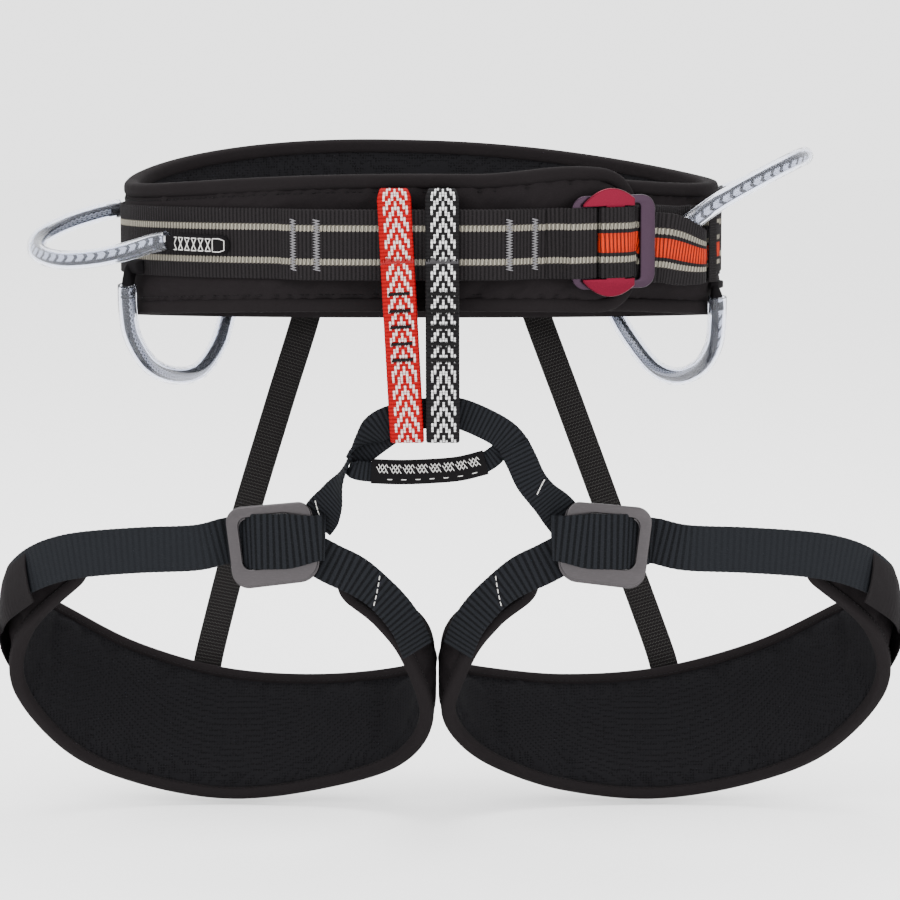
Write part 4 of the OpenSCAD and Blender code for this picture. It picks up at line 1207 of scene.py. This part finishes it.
def make_leg_pad(s, side):
    body = side + "_leg_loop"
    rows = smooth(PAD_ROWS, 14)
    lo, hi = rows[:, :3], rows[:, 3:]
    mid = (lo + hi) / 2
    up = unit(hi - lo)
    along = tangents(mid)
    out = unit(np.cross(along, up))
    half = np.linalg.norm(hi - lo, axis=1) / 2 - LEG_EDGE_IN / 2
    spine = np.hstack([mid, up, out, half[:, None]])
    angles = np.radians([20, 38, 54, 68, 80])
    ends = []
    for k, sign in ((0, -1), (-1, 1)):
        end = np.repeat(spine[k][None], 5, 0)
        end[:, :3] += along[k] * (sign * half[k] * np.sin(angles[::sign]))[:, None]
        end[:, 9] *= np.cos(angles[::sign])
        ends.append(end)
    spine = np.vstack([ends[0], spine, ends[1]])
    mid, up, out, half = spine[:, :3], spine[:, 3:6], spine[:, 6:9], spine[:, 9]
    share = np.linspace(-1, 1, 18)
    share = mix(share, np.sin(share * math.pi / 2), 0.4)
    height = half[:, None] * share
    s_mid = lengths(mid)[:, None]
    inset = np.minimum.reduce([half[:, None] - np.abs(height), s_mid + 0 * height,
                               s_mid[-1] - s_mid + 0 * height])
    tuck = 1.5 * (1 - ease(2.5, 8, inset))
    flat = mid[:, None] + up[:, None] * height[..., None]
    bulge = out[:, None] * (LEG_T / 2 - GAP - tuck)[..., None]
    sewn = np.where(inset < 4.0, 1.0, 0.0)
    outer, inner = inflate(side + "_leg_cloth", flat + bulge, flat - bulge, (sewn, sewn), 0.8, 1.5)
    pad_layers(side + "_leg", side_of(s, outer), side_of(s, inner), body)
    path, inward, normals = border_path(flat, 6, 1.8, 4)
    path, tip_in, tip_out = (side_of(s, p) for p in (path, path + inward, path + normals))
    inward, normals = unit(tip_in - path), unit(tip_out - path)
    edge_tape(side + "_leg_edge_tape", path, normals, LEG_EDGE_IN, LEG_T, body, side + "_leg_binding")
    threads = Threads(0.2, 4)
    spots = lengths(closed_up(path))
    for face in (1, -1):
        def on_tape(u, v, h, face=face):
            spot, towards, away = (read_rows(u % spots[-1], spots, closed_up(rows))
                                   for rows in (path, inward, normals))
            rise = (LEG_T / 2 - 0.25 + h)[..., None]
            return spot + v * towards + face * rise * away, face * away

        threads.dashes(on_tape, np.arange(0, spots[-1] - 3, 3.1), LEG_EDGE_IN / 2 - 1.3, 2.1)
    threads.build(side + "_leg_tape_stitches", black_thread, body)


def make_leg_straps(s, side):
    body = side + "_leg_loop"
    over = LEG_PLATE_V + PLATE_T + 1.6 + HALF
    rows = STRAP_ROWS + [on_leg_buckle(*place) for place in (
        (-26, -0.9), (-20, -0.9), (-15.5, 0.6), (-12, 3.0, 0.4), (-7, over - 0.6, 0.8),
        (2, over, 1.2), (10, over + 0.1, 1.8), (16, over + 0.2, 2.6), (22, over - 0.2, 3.4),
        (26.5, 4.6, 4), (28.5, 2, 4))]
    strap = Ribbon(side_rows(s, rows), LEG_WEB_W, WEB_T, pitch=3.35, front=-s)
    strap.relief = 0.1 + 0.15 * ease(145, 165, strap.s)
    end = strap.s[-1]
    strap.spread = (1 + 0.2 * ease(end - 60, end - 44, strap.s)
                    - 0.2 * ease(end - 24, end - 4, strap.s))
    strap.build(side + "_leg_adjusting_strap", strap_look, body, [side + "_leg_strap"])
    inner = Ribbon(side_rows(s, INNER_ROWS), LEG_WEB_W - 3, WEB_T, pitch=3.6, relief=0.28, front=-s)
    inner.spread = 1 - 0.15 * ease(30, 60, inner.s)
    inner.build(side + "_leg_inner_strap", charcoal_look, body, [side + "_leg_inner_webbing"])
    pocket = Ribbon(side_rows(s, POCKET_ROWS), LEG_WEB_W + 6, 1.0, pitch=1.6, relief=0, front=-s)
    pocket.build(side + "_leg_pocket_fabric", pocket_look, body, [side + "_leg_pocket"], crown=2.5)
    threads = Threads(0.3)
    tack = inner.nearest(side_rows(s, [[-33.5, -92.5, -180, 0, 0, 1]])[0][:3])
    for v in np.linspace(-6.2, 6.2, 5):
        threads.line(inner.at, [(tack - 0.6 * (v - 1), v - 1.0), (tack - 0.6 * (v + 1), v + 1.0)])
    threads.build(side + "_leg_strap_stitches", white_thread, body)


def make_leg_buckle(s, side):
    body = side + "_leg_buckle"
    origin = side_of(s, LEG_BUCKLE_O)
    turn = np.array([-s, 1, 1])
    across = LEG_U * cosd(LEG_LEAN) + LEG_W * sind(LEG_LEAN)
    upward = LEG_W * cosd(LEG_LEAN) - LEG_U * sind(LEG_LEAN)
    axes = (across * turn, upward * turn, LEG_V * turn)
    hole = rounded_rect(-17, 12.8, -12.7, 15.4, 4.7, 7)
    for name, node, v, thick, grow, drop in (("plate", "frame", LEG_PLATE_V, PLATE_T, 0, 0),
                                             ("second_plate", "plate", 0.7, 1.2, 0.4, 1.0)):
        ring = []
        for cx, cy, r in ((-14.5, 12.5, 9), (-14.5, -12.5, 9), (16.5, 13.5, 7), (13, -10.5, 11)):
            for q in np.arange(0, 360, 7.5):
                ring.append((cx + (r + grow) * cosd(q), cy + (r + grow) * sind(q)))
        plate(f"{side}_leg_buckle_{name}_metal", [hull(ring), hole], thick, thick * 0.38,
              origin + v * axes[2] - drop * axes[1], axes, leg_frame_look, body,
              f"{side}_leg_buckle_{node}")


# ------------------------ the build
make_belt()
make_waist_webbing()
make_strap_tail()
make_keeper()
make_waist_buckle()
make_belay_loop("red_belay_loop", -22.5, 6.5, red_look, (5.4, 1.6), red_thread)
make_belay_loop("black_belay_loop", 2.8, 0.4, black_look, (8.0, 2.6), dark_grey_thread)
for place in GEAR_ROUTES:
    make_gear_loop(place)
make_front_left_tab_stitches()
make_bridge()
make_riser("left", LEFT_RISER_ROWS)
make_riser("right", RIGHT_RISER_ROWS)
for sign, leg in ((-1, "left"), (1, "right")):
    make_leg_pad(sign, leg)
    make_leg_straps(sign, leg)
    make_leg_buckle(sign, leg)


# ------------------------ studio
def make_studio():
    low, high = cad_box
    for name, place, size, power in (("key", (-1.3, -1.9, 1.5), 1.6, 40),
                                     ("fill", (1.7, -1.5, 0.5), 1.6, 18),
                                     ("top", (0.1, 0.6, 1.9), 1.4, 45)):
        data = bpy.data.lights.new(name, "AREA")
        data.shape = "DISK"
        data.size = size
        data.energy = power
        lamp = link(name, data)
        lamp.location = place
        towards = (low + high) / 2 - Vector(place)
        lamp.rotation_euler = towards.to_track_quat("-Z", "Y").to_euler()
    world = bpy.data.worlds.new("studio")
    world.use_nodes = True
    background = world.node_tree.nodes["Background"]
    background.inputs["Color"].default_value = (1, 1, 1, 1)
    background.inputs["Strength"].default_value = 2.6
    bpy.context.scene.world = world
    mesh = bpy.data.meshes.new("studio_floor")
    reach, floor_z = 6.0, low.z - 0.002
    mesh.from_pydata([(-reach, -reach, floor_z), (reach, -reach, floor_z), (reach, reach, floor_z),
                      (-reach, reach, floor_z)], [], [(0, 1, 2, 3)])
    paper = Look("studio_paper", (0.95, 0.95, 0.95), rough=0.9)
    mesh.materials.append(paper.material)
    link("studio_floor", mesh)


def make_camera():
    camera = bpy.data.cameras.new("camera")
    camera.lens = 171.4
    camera.sensor_width = 36
    camera.clip_end = 30
    holder = link("camera", camera)
    holder.location = (0.007, -2.3821, 0.1785)
    holder.rotation_euler = (math.radians(83), 0, 0)
    bpy.context.scene.camera = holder


make_studio()
make_camera()

bpy.context.view_layer.update()
